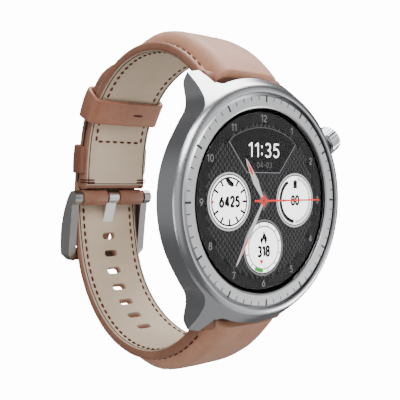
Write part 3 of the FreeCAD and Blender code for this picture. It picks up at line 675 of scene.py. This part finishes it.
def stitch(a, b, out, radius):
    """One thread stitch between two points, dipping in at both ends."""
    a, b, out = Vector(a), Vector(b), Vector(out)
    points, radii = [], []
    for k in range(7):
        t = k / 6
        rise = math.sin(math.pi * t) ** 0.5 if 0 < t < 1 else 0.0
        points.append(a.lerp(b, t) + out * (radius * (rise - 0.75)))
        radii.append(radius * (0.55 + 0.45 * rise))
    return tube(points, radii, 8)


def stitch_row(course, s0, s1, u_of, n_of, outward=1):
    """Stitches along a strap, u_of and n_of giving the row's place."""
    made = []
    for i in range(int((s1 - s0) / STITCH_PITCH)):
        s = s0 + i * STITCH_PITCH
        e = s + STITCH_PITCH * STITCH_SHARE
        drift = 0.05 * noise.noise(Vector((s * 1.7, u_of(s), 0.3)))
        a = course.place(s, u_of(s) + drift, n_of(s))
        b = course.place(e, u_of(e) - drift, n_of(e))
        out = Vector(course.place(s, 0, 1)) - Vector(course.place(s, 0, 0))
        made.append(stitch(a, b, out * outward, THREAD_R))
    return made


def edge_lines(course, s0, s1, width_of):
    """A dark pressed line along each side of the lining."""
    made = []
    for sign in (-1, 1):
        path = [course.place(s, sign * (width_of(s) - LINE_INSET), 0.03) for s in spaced(s0, s1, 0.8)]
        made.append(tube(path, 0.14, 6))
    return made


def cut_with(obj, tool):
    """Boolean difference, applied."""
    mod = obj.modifiers.new("cut", "BOOLEAN")
    mod.operation, mod.object, mod.solver = "DIFFERENCE", tool, "EXACT"
    bpy.context.view_layer.update()
    mesh = bpy.data.meshes.new_from_object(obj.evaluated_get(bpy.context.evaluated_depsgraph_get()))
    obj.modifiers.clear()
    old = obj.data
    obj.data = mesh
    bpy.data.meshes.remove(old)
    bpy.data.objects.remove(tool)


def hole_cutter(s):
    """An oblong peg through the lower half at s."""
    ring = []
    for k in range(24):
        t = 2 * math.pi * k / 24
        shift = 0.0 if k % 12 == 6 else math.copysign(HOLE_HALF, math.cos(t))
        ring.append((shift + HOLE_R * math.cos(t), HOLE_R * math.sin(t)))
    rings = [[lower_course.place(s + along, u, n) for u, along in ring] for n in (-3.2, 5.2)]
    made = new_object("cutter", new_mesh("cutter", *loft(rings)))
    bm = bmesh.new()
    bm.from_mesh(made.data)
    bmesh.ops.recalc_face_normals(bm, faces=bm.faces)
    bm.to_mesh(made.data)
    bm.free()
    return made


def tongue_slot():
    """A slanting slot that the tongue passes through."""
    slant = math.radians(21.0)
    c, s = math.cos(slant), math.sin(slant)
    verts = []
    for x in (-2.5, 2.5):
        for along, across in ((3.0, -0.85), (11.0, -0.85), (11.0, 0.75), (3.0, 0.75)):
            verts.append((x, DIAL_Y + PIN[0] + s * along + c * across, -c * along + s * across))
    return new_object("cutter", new_mesh("cutter", verts, BOX_FACES))


def shade(obj):
    """Smooth shading with sharp edges kept by angle, after a boolean."""
    bm = bmesh.new()
    bm.from_mesh(obj.data)
    for face in bm.faces:
        face.smooth = True
    for edge in bm.edges:
        edge.smooth = len(edge.link_faces) == 2 and edge.calc_face_angle(0.0) < math.radians(50.0)
    bm.to_mesh(obj.data)
    bm.free()


# ---------------------------------------------------------------- strap halves
RING = len(leather_section(10.0, 10.0, EDGE_T, 1.0))
END_U = UPPER_START + UPPER.length           # the upper half's end on its course
LINING_END_U = END_U - 1.9
PATCH_U = UPPER_START + 57.2                 # where the plain doubled end of the lining starts
HOLE_FIRST = BEND - 6.6
HOLE_PITCH, HOLES = 4.7, 7
HOLE_HALF, HOLE_R = 1.10, 0.90               # half the straight part of a hole, and its round ends
LOOP_HALF, FOLD_HALF, FOLD_GAP = 10.9, 9.25, 2.1
# the stretch of the painted shadow line along the upper half's edges, where the tail lies on it
LAYER_SHADOW_SPAN = (UPPER_START + 51.0, UPPER_START + 66.0)
CROSS_ROW = UPPER_START + 55.3               # the row of stitches across the lining
TACK = UPPER_START + 65.6                    # the stitches over the edge beside the buckle


def upper_edge(s):
    return EDGE_T + build_up(s - UPPER_START)


def upper_pad(s):
    return max(0.0, pad_top(s - UPPER_START) - EDGE_T)


def lower_edge(s):
    return EDGE_T - 0.1 * smooth_step(s, BEND - 12, BEND)


def lower_pad(s):
    return max(0.0, pad_top(s - LOWER_START) - EDGE_T) if s < LOWER_START + 40 else 0.0


def barrel(x0, x1, centre, radius, bore, sides=48):
    """A leather sleeve round a bar along X, with rounded ends."""
    sections = []
    turns = [2 * math.pi * k / sides for k in range(sides)]
    for x, r in ((x0, bore), (x0, radius - 0.35), (x0 + 0.10, radius - 0.10), (x0 + 0.35, radius),
                 (x1 - 0.35, radius), (x1 - 0.10, radius - 0.10), (x1, radius - 0.35), (x1, bore),
                 (x0, bore)):
        ring = [(centre[0] + r * math.cos(t), centre[1] + r * math.sin(t)) for t in turns]
        sections.append([(x, DIAL_Y + depth, z) for depth, z in ring])
    return loft(sections, caps=False)


def upper_strap():
    shape = strap_leather(upper_course, 0.0, END_U - 0.9, upper_width, upper_edge, upper_pad)
    index = edge_index(shape[1])
    skin = piece("upper_strap_leather_skin", shape, "leather edge", index=index)
    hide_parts("upper_strap_leather", "upper_strap_padding")
    sides = ((-FOLD_HALF, -FOLD_GAP), (FOLD_GAP, FOLD_HALF))
    wraps = [barrel(x0, x1, PIN, WRAP_R, 0.86) for x0, x1 in sides]
    piece("upper_strap_fold", merge(wraps), "edge")
    piece("upper_strap_loop_end", barrel(-LOOP_HALF, LOOP_HALF, BAR, 1.88, 0.82), "edge")
    whole = strap_lining(upper_course, 2.2, LINING_END_U, upper_width)
    patch = strap_lining(upper_course, PATCH_U, LINING_END_U - 0.15, lambda s: upper_width(s) - 0.9, 0.3, 0.3)
    lining = piece("upper_strap_lining_skin", merge([whole, patch]), "lining")
    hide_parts("upper_strap_lining")
    lines = edge_lines(upper_course, 2.4, LINING_END_U - 0.3, upper_width)
    w = upper_width(LINING_END_U) - LINE_INSET
    lines.append(tube([upper_course.place(LINING_END_U - 0.3, u, 0.0) for u in spaced(-w, w, 0.8)], 0.085, 6))
    piece("upper_lining_edge_lines", merge(lines), "crease")


def lower_strap():
    shape = strap_leather(lower_course, 0.0, lower_course.length, lower_width, lower_edge, lower_pad)
    index = edge_index(shape[1])
    skin = piece("lower_strap_leather_skin", shape, "leather edge", index=index)
    shape = strap_lining(lower_course, 3.2, lower_course.length - 1.3, lower_width)
    lining = piece("lower_strap_lining_skin", shape, "lining")
    for obj in (skin, lining):
        cut_with(obj, tongue_slot())
        for i in range(1, HOLES + 1):
            cut_with(obj, hole_cutter(HOLE_FIRST - HOLE_PITCH * i))
        shade(obj)
    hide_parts("lower_strap_leather", "lower_strap_padding")
    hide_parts("lower_strap_lining")
    sleeve = barrel(-LOOP_HALF, LOOP_HALF, (BAR[0], -BAR[1]), 1.88, 0.82)
    piece("lower_strap_loop_end", sleeve, "edge")
    lines = edge_lines(lower_course, 3.4, lower_course.length - 7, lower_width)
    piece("lower_lining_edge_lines", merge(lines), "crease")


def edge_index(faces):
    """Material index by face of a leather loft: the painted edges take the second material."""
    painted, ring = 15, RING
    index = []
    for face in faces:
        if len(face) > 4:
            index.append(1)
            continue
        j = min(face[0] % ring, face[1] % ring) if abs(face[0] % ring - face[1] % ring) == 1 else ring - 1
        index.append(1 if j < painted or j >= ring - painted else 0)
    return index


def stitching():
    """Every thread row, as separate stitches."""
    def beside(width_of, sign, inset):
        return lambda s: sign * (width_of(s) - inset)

    rows = []
    for sign in (-1, 1):
        rows += stitch_row(upper_course, 4.5, UPPER_START + 56.6, beside(upper_width, sign, UPPER_INSET),
                           lambda s: 0.10, outward=-1)
        rows += stitch_row(upper_course, 5.0, UPPER_START + 54.6, beside(upper_width, sign, TOP_INSET),
                           lambda s: upper_edge(s) - 0.16)
    w = upper_width(CROSS_ROW) - UPPER_INSET
    count = int(2 * w / 2.3)
    for i in range(count):
        u = -w + 0.6 + (2 * w - 0.7) * i / count
        a = upper_course.place(CROSS_ROW, u, 0.03)
        b = upper_course.place(CROSS_ROW, u + 1.45, 0.03)
        out = Vector(upper_course.place(CROSS_ROW, 0, -1)) - Vector(upper_course.place(CROSS_ROW, 0, 0))
        rows.append(stitch(a, b, out, THREAD_R))
    # painted shadow: a dark line along both edges of the upper half, standing in for the shade between it and
    # the tail lying on it; then a dark line across the lining's end
    dark = []
    for sign in (-1, 1):
        shadow_line = []
        for s in spaced(*LAYER_SHADOW_SPAN, 1.2):
            shadow_line.append(upper_course.place(s, sign * (upper_width(s) - 0.05), upper_edge(s) + 0.10))
        dark.append(tube(shadow_line, 0.20, 6))
    w = upper_width(LINING_END_U) - 0.55
    across = [upper_course.place(LINING_END_U - 0.35, w * k / 8, 0.02) for k in range(-8, 9)]
    dark.append(tube(across, 0.12, 6))
    piece("upper_strap_shadow_and_end_lines", merge(dark), "crease")
    w = upper_width(TACK)
    for sign in (-1, 1):
        for shift in (-0.32, 0.32):
            over_edge = ((-2.6, -0.02), (-1.2, -0.16), (0.02, -0.05), (0.14, 0.9), (0.12, 2.4))
            path = [upper_course.place(TACK + shift, sign * (w + out), n) for out, n in over_edge]
            rows.append(tube(path, 0.17, 8))
    piece("upper_strap_stitching", merge(rows), "thread")

    rows = []
    end = lower_course.length - 7.5
    for sign in (-1, 1):
        rows += stitch_row(lower_course, 5.0, BEND - 1.0, beside(lower_width, sign, LOWER_INSET),
                           lambda s: 0.10, outward=-1)
        rows += stitch_row(lower_course, 6.0, end, beside(lower_width, sign, TOP_INSET),
                           lambda s: lower_edge(s) - 0.16)
    piece("lower_strap_stitching", merge(rows), "thread")


def keeper(name, s0, s1, half, n_in, n_out, thick, mat, body, node, bulge=0.0):
    """A leather loop round the strap: a rounded band swept round a rounded rectangle."""
    corner = 1.5
    loop = []
    low, high = n_in - thick / 2, n_out + thick / 2
    wide = half + thick / 2
    for cx, cn, start in ((wide - corner, low + corner, -90), (wide - corner, high - corner, 0),
                          (-wide + corner, high - corner, 90), (-wide + corner, low + corner, 180)):
        for k in range(9):
            t = math.radians(start + 90 * k / 8)
            loop.append((cx + corner * math.cos(t), cn + corner * math.sin(t), math.cos(t), math.sin(t)))
    dense = []
    for i, (u, n, a, b) in enumerate(loop):
        dense.append((u, n, a, b))
        v = loop[(i + 1) % len(loop)]
        if math.hypot(v[0] - u, v[1] - n) > 2:
            for k in range(1, 8):
                dense.append((u + (v[0] - u) * k / 8, n + (v[1] - n) * k / 8, a, b))
    half_t, r = thick / 2, thick * 0.36
    length = s1 - s0
    ring = []
    for cs, ct, start in ((r, half_t - r, 90), (r, -half_t + r, 180), (length - r, -half_t + r, 270),
                          (length - r, half_t - r, 0)):
        for k in range(5):
            t = math.radians(start + 90 * k / 4)
            ring.append((cs + r * math.cos(t), ct + r * math.sin(t)))
    ring += [(length * k / 8, half_t) for k in range(7, 0, -1)]
    sections = []
    for u, n, a, b in dense:
        section = []
        for along, t in ring:
            puff = 0.10 * math.sin(math.pi * along / length) if t > 0 else 0.0
            belly = -bulge * max(0.0, 1 - (u / wide) ** 2) if b < -0.5 else 0.0
            section.append(upper_place(s0 + along, u + a * (t + puff), n + b * (t + puff) + belly))
        sections.append(section)
    sections.append(sections[0])
    obj = piece(name, loft(sections, caps=False), mat, body)
    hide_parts(node)


def upper_place(s, u, n):
    depth, z = UPPER.point(s, n)
    return (u, DIAL_Y + depth, z)


def over_tail(s):
    return EDGE_T + LAYER_GAP + build_up(s) + TAIL_T


def keepers():
    s0, s1 = FREE_KEEPER
    mid = (s0 + s1) / 2
    keeper("free_keeper_band", s0, s1, 9.65, -0.18, over_tail(mid) + 0.18, 1.1, "keeper", "free_keeper_loop",
           "free_keeper", 0.35)
    a, b = upper_place(mid, 1.0, -1.64), upper_place(mid, 4.6, -1.60)
    out = Vector(upper_place(mid, 0, -2)) - Vector(upper_place(mid, 0, -1))
    piece("free_keeper_staple", stitch(a, b, out, 0.30), "thread", "free_keeper_loop")

    s0, s1 = fixed_span()
    keeper("fixed_keeper_band", s0, s1, 9.5, LINING_T + 0.47, over_tail((s0 + s1) / 2) + 0.15, 0.9,
           "dark_keeper", "watch", "fixed_keeper")


def fixed_span():
    """Where the fixed keeper starts and ends along the upper half."""
    found = []
    for height in FIXED_KEEPER_Z:
        s = UPPER.length
        while UPPER.point(s, 0)[1] < height:
            s -= 0.05
        found.append(s)
    return min(found), max(found)


# ---------------------------------------------------------------- dial picture
def disc(cx, cz, r, depth, count=96):
    turns = [2 * math.pi * k / count for k in range(count)]
    return flat([(cx + r * math.sin(t), cz + r * math.cos(t)) for t in turns], depth)


def arc(cx, cz, r0, r1, a0, a1, depth, count=64):
    """A flat ring sector; angles are clockwise from 12 o'clock in degrees."""
    verts, faces = [], []
    for k in range(count + 1):
        t = math.radians(a0 + (a1 - a0) * k / count)
        verts.append((cx + r0 * math.sin(t), DIAL_Y + depth, cz + r0 * math.cos(t)))
        verts.append((cx + r1 * math.sin(t), DIAL_Y + depth, cz + r1 * math.cos(t)))
    for k in range(count):
        faces.append((2 * k, 2 * k + 1, 2 * k + 3, 2 * k + 2))
    return verts, faces


def flat(points, depth):
    return [(x, DIAL_Y + depth, z) for x, z in points], [tuple(range(len(points)))]


def tick(cx, cz, r0, r1, width, angle, depth):
    t = math.radians(angle)
    out, side = (math.sin(t), math.cos(t)), (math.cos(t), -math.sin(t))
    pts = []
    for r, w in ((r0, -1), (r1, -1), (r1, 1), (r0, 1)):
        pts.append((cx + out[0] * r + side[0] * w * width / 2, cz + out[1] * r + side[1] * w * width / 2))
    return flat(pts, depth)


def strokes(points, width, depth):
    """A flat line of constant width through (x, z) points."""
    verts, faces = [], []
    n = len(points)
    for i, p in enumerate(points):
        a, b = Vector(points[max(i - 1, 0)]), Vector(points[min(i + 1, n - 1)])
        d = (b - a).normalized()
        side = Vector((-d.y, d.x)) * width / 2
        for k in (-1, 1):
            verts.append((p[0] + side.x * k, DIAL_Y + depth, p[1] + side.y * k))
    for i in range(n - 1):
        faces.append((2 * i, 2 * i + 1, 2 * i + 3, 2 * i + 2))
    return verts, faces


def bow(cx, cy, rx, ry, a0, a1, count=16):
    """Points along an oval, by angle from +x in degrees."""
    angles = [math.radians(a0 + (a1 - a0) * k / count) for k in range(count + 1)]
    return [(cx + rx * math.cos(t), cy + ry * math.sin(t)) for t in angles]


# each digit as pen strokes in a box 1 wide and 1.6 high, with its advance
PEN = {
    "0": (1.34, [bow(0.5, 0.8, 0.44, 0.76, 90, 450, 24)]),
    "1": (0.95, [[(0.06, 1.24), (0.52, 1.58)], [(0.50, 1.60), (0.50, 0.0)]]),
    "2": (1.30, [bow(0.48, 1.13, 0.40, 0.42, 175, -35, 12) + [(0.10, 0.10)], [(0.04, 0.06), (0.96, 0.06)]]),
    "3": (1.30, [bow(0.46, 1.17, 0.38, 0.38, 150, -90, 12), bow(0.46, 0.42, 0.43, 0.39, 90, -150, 12)]),
    "4": (1.36, [[(0.74, 0.0), (0.74, 1.60)], [(0.70, 1.56), (0.08, 0.46)], [(0.0, 0.42), (1.06, 0.42)]]),
    "5": (1.30, [[(0.90, 1.52), (0.16, 1.52)], [(0.22, 1.56), (0.16, 0.80)],
                 bow(0.46, 0.50, 0.43, 0.46, 118, -150, 14)]),
    "6": (1.32, [bow(0.5, 0.50, 0.42, 0.46, 0, 360, 20), [(0.70, 1.56), (0.34, 1.08), (0.10, 0.62)]]),
    "7": (1.28, [[(0.04, 1.52), (0.98, 1.52)], [(0.92, 1.54), (0.36, 0.0)]]),
    "8": (1.32, [bow(0.5, 1.18, 0.36, 0.36, 0, 360, 18), bow(0.5, 0.42, 0.42, 0.40, 0, 360, 18)]),
    "9": (1.32, [bow(0.5, 1.08, 0.42, 0.46, 0, 360, 20), [(0.30, 0.0), (0.66, 0.48), (0.90, 0.96)]]),
    ":": (0.62, [[(0.14, 0.22), (0.14, 0.50)], [(0.14, 1.04), (0.14, 1.32)]]),
    "-": (1.00, [[(0.08, 0.72), (0.66, 0.72)]]),
}


def digits(p, colour, words, cx, cz, height, depth, weight, squeeze=1.0):
    """Numbers drawn with a pen of constant width, centred at (cx, cz)."""
    unit = height / 1.6
    total = (sum(PEN[c][0] for c in words) - 0.34) * unit * squeeze
    x0 = cx - total / 2
    for c in words:
        advance, lines = PEN[c]
        for line in lines:
            path = [(x0 + x * unit * squeeze, cz + (y - 0.8) * unit) for x, y in line]
            p.add(colour, strokes(path, weight, depth))
        x0 += advance * unit * squeeze


class Picture:
    """Flat lit shapes of the display, collected by colour."""

    def __init__(self):
        self.parts = {}

    def add(self, colour, shape):
        self.parts.setdefault(colour, []).append(shape)

    def build(self):
        verts, faces, index, mats = [], [], [], []
        for i, (colour, shapes) in enumerate(sorted(self.parts.items())):
            mats.append(SCREEN[colour])
            v, f = merge(shapes)
            base = len(verts)
            verts += v
            faces += [tuple(base + k for k in face) for face in f]
            index += [i] * len(f)
        mesh = new_mesh("dial_picture", verts, faces)
        for m in mats:
            mesh.materials.append(m)
        mesh.polygons.foreach_set("material_index", index)
        obj = new_object("dial_picture", mesh)
        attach(obj, "watch")


SCREEN_LIGHTS = {                   # colour and brightness
    "facet": ((0.075, 0.075, 0.077, 1), 1.0),
    "shade": ((0.018, 0.018, 0.019, 1), 1.0),
    "rim": ((0.020, 0.020, 0.021, 1), 1.0),
    "white": ((1, 1, 1, 1), 3.4),
    "silver": ((0.55, 0.55, 0.57, 1), 1.6),
    "grey": ((0.30, 0.30, 0.31, 1), 0.9),
    "dim": ((0.17, 0.17, 0.17, 1), 0.9),
    "panel": ((0.014, 0.014, 0.015, 1), 1.0),
    "black": ((0.006, 0.006, 0.006, 1), 1.0),
    "red": ((1.0, 0.035, 0.02, 1), 1.5),
    "green": ((0.03, 0.55, 0.05, 1), 1.2),
}
SCREEN = {name: glow("screen_" + name, *look) for name, look in SCREEN_LIGHTS.items()}
PANEL_DEPTH = 0.484
LAYERS = [0.490, 0.486, 0.482, 0.478, 0.474, 0.470, 0.466, 0.462]    # depths, from the back to the front


def subdial(p, cx, cz, r, rim):
    p.add(rim, disc(cx, cz, r + 0.60, PANEL_DEPTH))
    p.add("black", disc(cx, cz, r + 0.22, LAYERS[2]))
    p.add("white", disc(cx, cz, r, LAYERS[3]))


def lozenges(p, reach):
    """Rows of small raised lozenges: a lit facet and a shaded one each."""
    across, high = 1.18, 1.46
    w, h = across * 0.45, high * 0.45
    for row in range(-22, 23):
        z = row * high / 2
        for column in range(-14, 15):
            x = (column + (row % 2) / 2) * across
            if math.hypot(x, z) <= reach:
                p.add("facet", flat([(x - w, z), (x, z - h), (x, z + h)], LAYERS[1]))
                p.add("shade", flat([(x, z - h), (x + w, z), (x, z + h)], LAYERS[1]))


def turned(points, angle, depth):
    """A flat shape drawn upright, turned clockwise about the dial's centre."""
    c, s = math.cos(angle), math.sin(angle)
    return flat([(x * c + z * s, -x * s + z * c) for x, z in points], depth)


def hand(p, tip, wide, near, far, half):
    """A silver hand that ends at tip, with a red inset between two shares of its length."""
    length, angle = math.hypot(*tip), math.atan2(*tip)
    blade = [(0.0, length), (wide * 0.45, length - 1.2), (wide, length * 0.45), (0.28, 0.9),
             (-0.28, 0.9), (-wide, length * 0.45), (-wide * 0.45, length - 1.2)]
    inset = [(0.0, length * far), (half, length * (near + 0.1)), (half * 0.6, length * near),
             (-half * 0.6, length * near), (-half, length * (near + 0.1))]
    p.add("silver", turned(blade, angle, LAYERS[5]))
    p.add("red", turned(inset, angle, LAYERS[6]))


def dial_picture():
    p = Picture()
    p.add("black", disc(0, 0, 18.0, LAYERS[0], 160))
    p.add("rim", arc(0, 0, 16.0, 18.0, 0, 360, LAYERS[1], 160))
    lozenges(p, 15.7)
    for hour in range(1, 13):
        t = math.radians(30 * hour)
        digits(p, "grey", str(hour), 16.9 * math.sin(t), 16.9 * math.cos(t), 1.4, LAYERS[2], 0.22)
    # panel behind the time
    panel = [(-4.8, 5.8), (-9.7, 11.8)]
    for k in range(13):
        x = -8.4 + 16.8 * k / 12
        panel.append((x, 12.9 + 2.1 * (1 - (x / 8.4) ** 2)))
    panel += [(9.7, 11.8), (4.8, 5.8)]
    p.add("panel", flat(panel, PANEL_DEPTH))
    p.add("grey", strokes([(-9.7, 11.8), (-4.8, 5.8), (4.8, 5.8), (9.7, 11.8)], 0.22, LAYERS[2]))
    p.add("dim", strokes(panel[1:-1], 0.16, LAYERS[2]))
    digits(p, "white", "11:35", 0.1, 10.4, 2.85, LAYERS[2], 0.34, 1.05)
    digits(p, "dim", "04-03", 0.2, 7.35, 1.15, LAYERS[2], 0.20)
    # left counter: steps
    cx, cz, r = -9.6, 0.0, 5.2
    subdial(p, cx, cz, r, "silver")
    for k in range(12):
        if k not in (0, 9):
            p.add("black", tick(cx, cz, r - 1.75, r - 0.4, 0.44, 30 * k, LAYERS[4]))
    p.add("black", arc(cx, cz, r - 0.66, r - 0.32, 0, 360, LAYERS[4]))
    pointer = [(0.35, 0.48), (1.2, 0.0), (0.35, -0.48)]
    p.add("red", flat([(cx - r + x, cz + z) for x, z in pointer], LAYERS[4]))
    digits(p, "black", "6425", cx, cz, 2.0, LAYERS[4], 0.56, 0.86)
    shoe = [(-1.2, 0.60), (-0.35, 1.05), (0.15, 0.55), (0.95, 0.05), (1.15, -0.65), (0.55, -0.85),
            (-0.45, -0.35)]
    p.add("black", flat([(cx + 0.05 + x, cz + 3.7 + z) for x, z in shoe], LAYERS[4]))
    # right counter: charge
    cx, cz = 9.6, 0.0
    subdial(p, cx, cz, r, "silver")
    p.add("grey", arc(cx, cz, r - 0.75, r - 0.22, 185, 325, LAYERS[4]))
    p.add("black", arc(cx, cz, r - 1.05, r - 0.45, 185, 330, LAYERS[5]))
    for k in range(44):
        p.add("grey", tick(cx, cz, r - 0.90, r - 0.20, 0.20, 10 + 3.9 * k, LAYERS[4]))
    digits(p, "black", "80", cx, cz, 1.9, LAYERS[4], 0.54, 0.86)
    for half, low, high in ((0.6, 2.55, 4.15), (0.22, 4.15, 4.39)):      # a cell and its cap
        cell = [(-half, low), (half, low), (half, high), (-half, high)]
        p.add("black", flat([(cx + x, cz + z) for x, z in cell], LAYERS[4]))
    # lower counter: heat
    cx, cz = 0.0, -9.6
    subdial(p, cx, cz, r, "grey")
    p.add("grey", arc(cx, cz, r - 0.95, r - 0.72, 0, 360, LAYERS[4]))
    for k in range(12):
        p.add("grey", tick(cx, cz, r - 0.80, r - 0.02, 0.22, 15 + 30 * k, LAYERS[4]))
    p.add("green", arc(cx, cz, r - 0.85, r - 0.08, 182, 212, LAYERS[5]))
    p.add("red", flat([(cx - 1.25, cz - 2.35), (cx + 0.05, cz - 2.65), (cx - 0.75, cz - 3.5)], LAYERS[5]))
    digits(p, "black", "318", cx, cz - 0.75, 2.0, LAYERS[4], 0.56, 0.84)
    flame = [(0.0, 1.25), (0.35, 0.7), (0.75, 0.2), (0.85, -0.35), (0.55, -0.85), (0.25, -1.0),
             (0.3, -0.55), (0.0, -0.1), (-0.3, -0.55), (-0.25, -1.0), (-0.6, -0.8), (-0.85, -0.3),
             (-0.6, 0.25), (-0.4, 0.1), (-0.15, 0.75)]
    p.add("black", flat([(cx + x * 1.2, cz + 1.9 + z * 1.25) for x, z in flame], LAYERS[4]))
    # hands and the hub
    hand(p, (-5.2, 8.7), 0.78, 0.62, 0.94, 0.34)
    hand(p, (-7.9, -13.1), 0.52, 0.55, 0.97, 0.16)
    p.add("red", flat([(-2.6, 0.20), (-2.6, -0.20), (17.5, -0.17), (17.5, 0.17)], LAYERS[7]))
    p.add("red", flat([(5.5, 0.0), (6.1, 0.42), (6.5, 0.0), (6.1, -0.42)], LAYERS[7]))
    for colour, w, h, layer in (("dim", 1.75, 2.1, 4), ("red", 1.05, 1.3, 6), ("dim", 0.5, 0.62, 7)):
        p.add(colour, flat([(-w, 0), (0, h), (w, 0), (0, -h)], LAYERS[layer]))
    p.build()


def bezel_marks():
    """Dark enamel at the bottom of the cut marks on the chapter ring."""
    parts = []
    for minute in range(60):
        hour = minute % 5 == 0
        width, low, high = (0.46, 20.12, 21.5) if hour else (0.22, 20.5, 21.3)
        t = math.radians(6 * minute)
        out, side = (math.sin(t), math.cos(t)), (math.cos(t), -math.sin(t))
        top, bottom = -0.428, -0.05
        corners = []
        for depth in (top, bottom):
            for r, w in ((low, -1), (high, -1), (high, 1), (low, 1)):
                corners.append((out[0] * r + side[0] * w * width * 0.49, DIAL_Y + depth,
                                out[1] * r + side[1] * w * width * 0.49))
        parts.append((corners, BOX_FACES))
    piece("minute_marks", merge(parts), "mark")


# ---------------------------------------------------------------- finishes of the carried CAD nodes
COATED_IOR = 1.10                   # lower than plain glass: it is coated against reflections


def glass(name, tint, rough):
    s = Shader(name, Transmission_Weight=1.0, IOR=COATED_IOR, Base_Color=tint)
    film = s.noise(25, 2)
    s.rough(s.span(film, 0.0, rough, 0.3, 0.7))
    return s.mat


def wear(node, material):
    NODES[node].data.materials.clear()
    NODES[node].data.materials.append(material)


def finish_nodes():
    looks = {
        "case": ["mid_case", "crown_cap"], "bezel": ["bezel_ring"], "buckle": ["buckle_frame", "buckle_bar"],
        "tongue": ["buckle_tongue"], "rubber": ["glass_gasket", "back_seal", "crown_seals"],
        "black": ["inner_chassis", "loudspeaker", "optical_barrier", "crown_pusher", "crown_switch",
                  "display_module"],
        "cell": ["battery"], "board": ["main_board", "sensor_board"], "back": ["back_cover"],
        "gold": ["display_flex", "antenna", "sensor_emitters", "charging_contacts"],
        "polished": ["board_shields", "vibration_motor", "microphone", "back_screws", "crown", "crown_stem",
                     "crown_clip", "crown_tube", "upper_bar_tube", "upper_bar_slider", "upper_bar_spring",
                     "lower_bar_tube", "lower_bar_slider", "lower_bar_spring"],
    }
    for look, nodes in looks.items():
        for node in nodes:
            wear(node, M[look])
    wear("cover_glass", glass("cover_crystal", (1, 1, 1, 1), 0.01))
    wear("sensor_window", glass("sensor_crystal", (0.10, 0.10, 0.11, 1), 0.04))
    for node, width in (("mid_case", 0.10), ("buckle_frame", 0.16), ("buckle_tongue", 0.10), ("crown", 0.04)):
        bevel = NODES[node].modifiers.new("edge_break", "BEVEL")
        bevel.width, bevel.segments = width * MM, 2
        bevel.limit_method, bevel.angle_limit = "ANGLE", math.radians(28)
        bevel.harden_normals = True


camera()
backdrop()
pale_floor()
softboxes()
finish_nodes()
upper_strap()
lower_strap()
stitching()
keepers()
bezel_marks()
dial_picture()
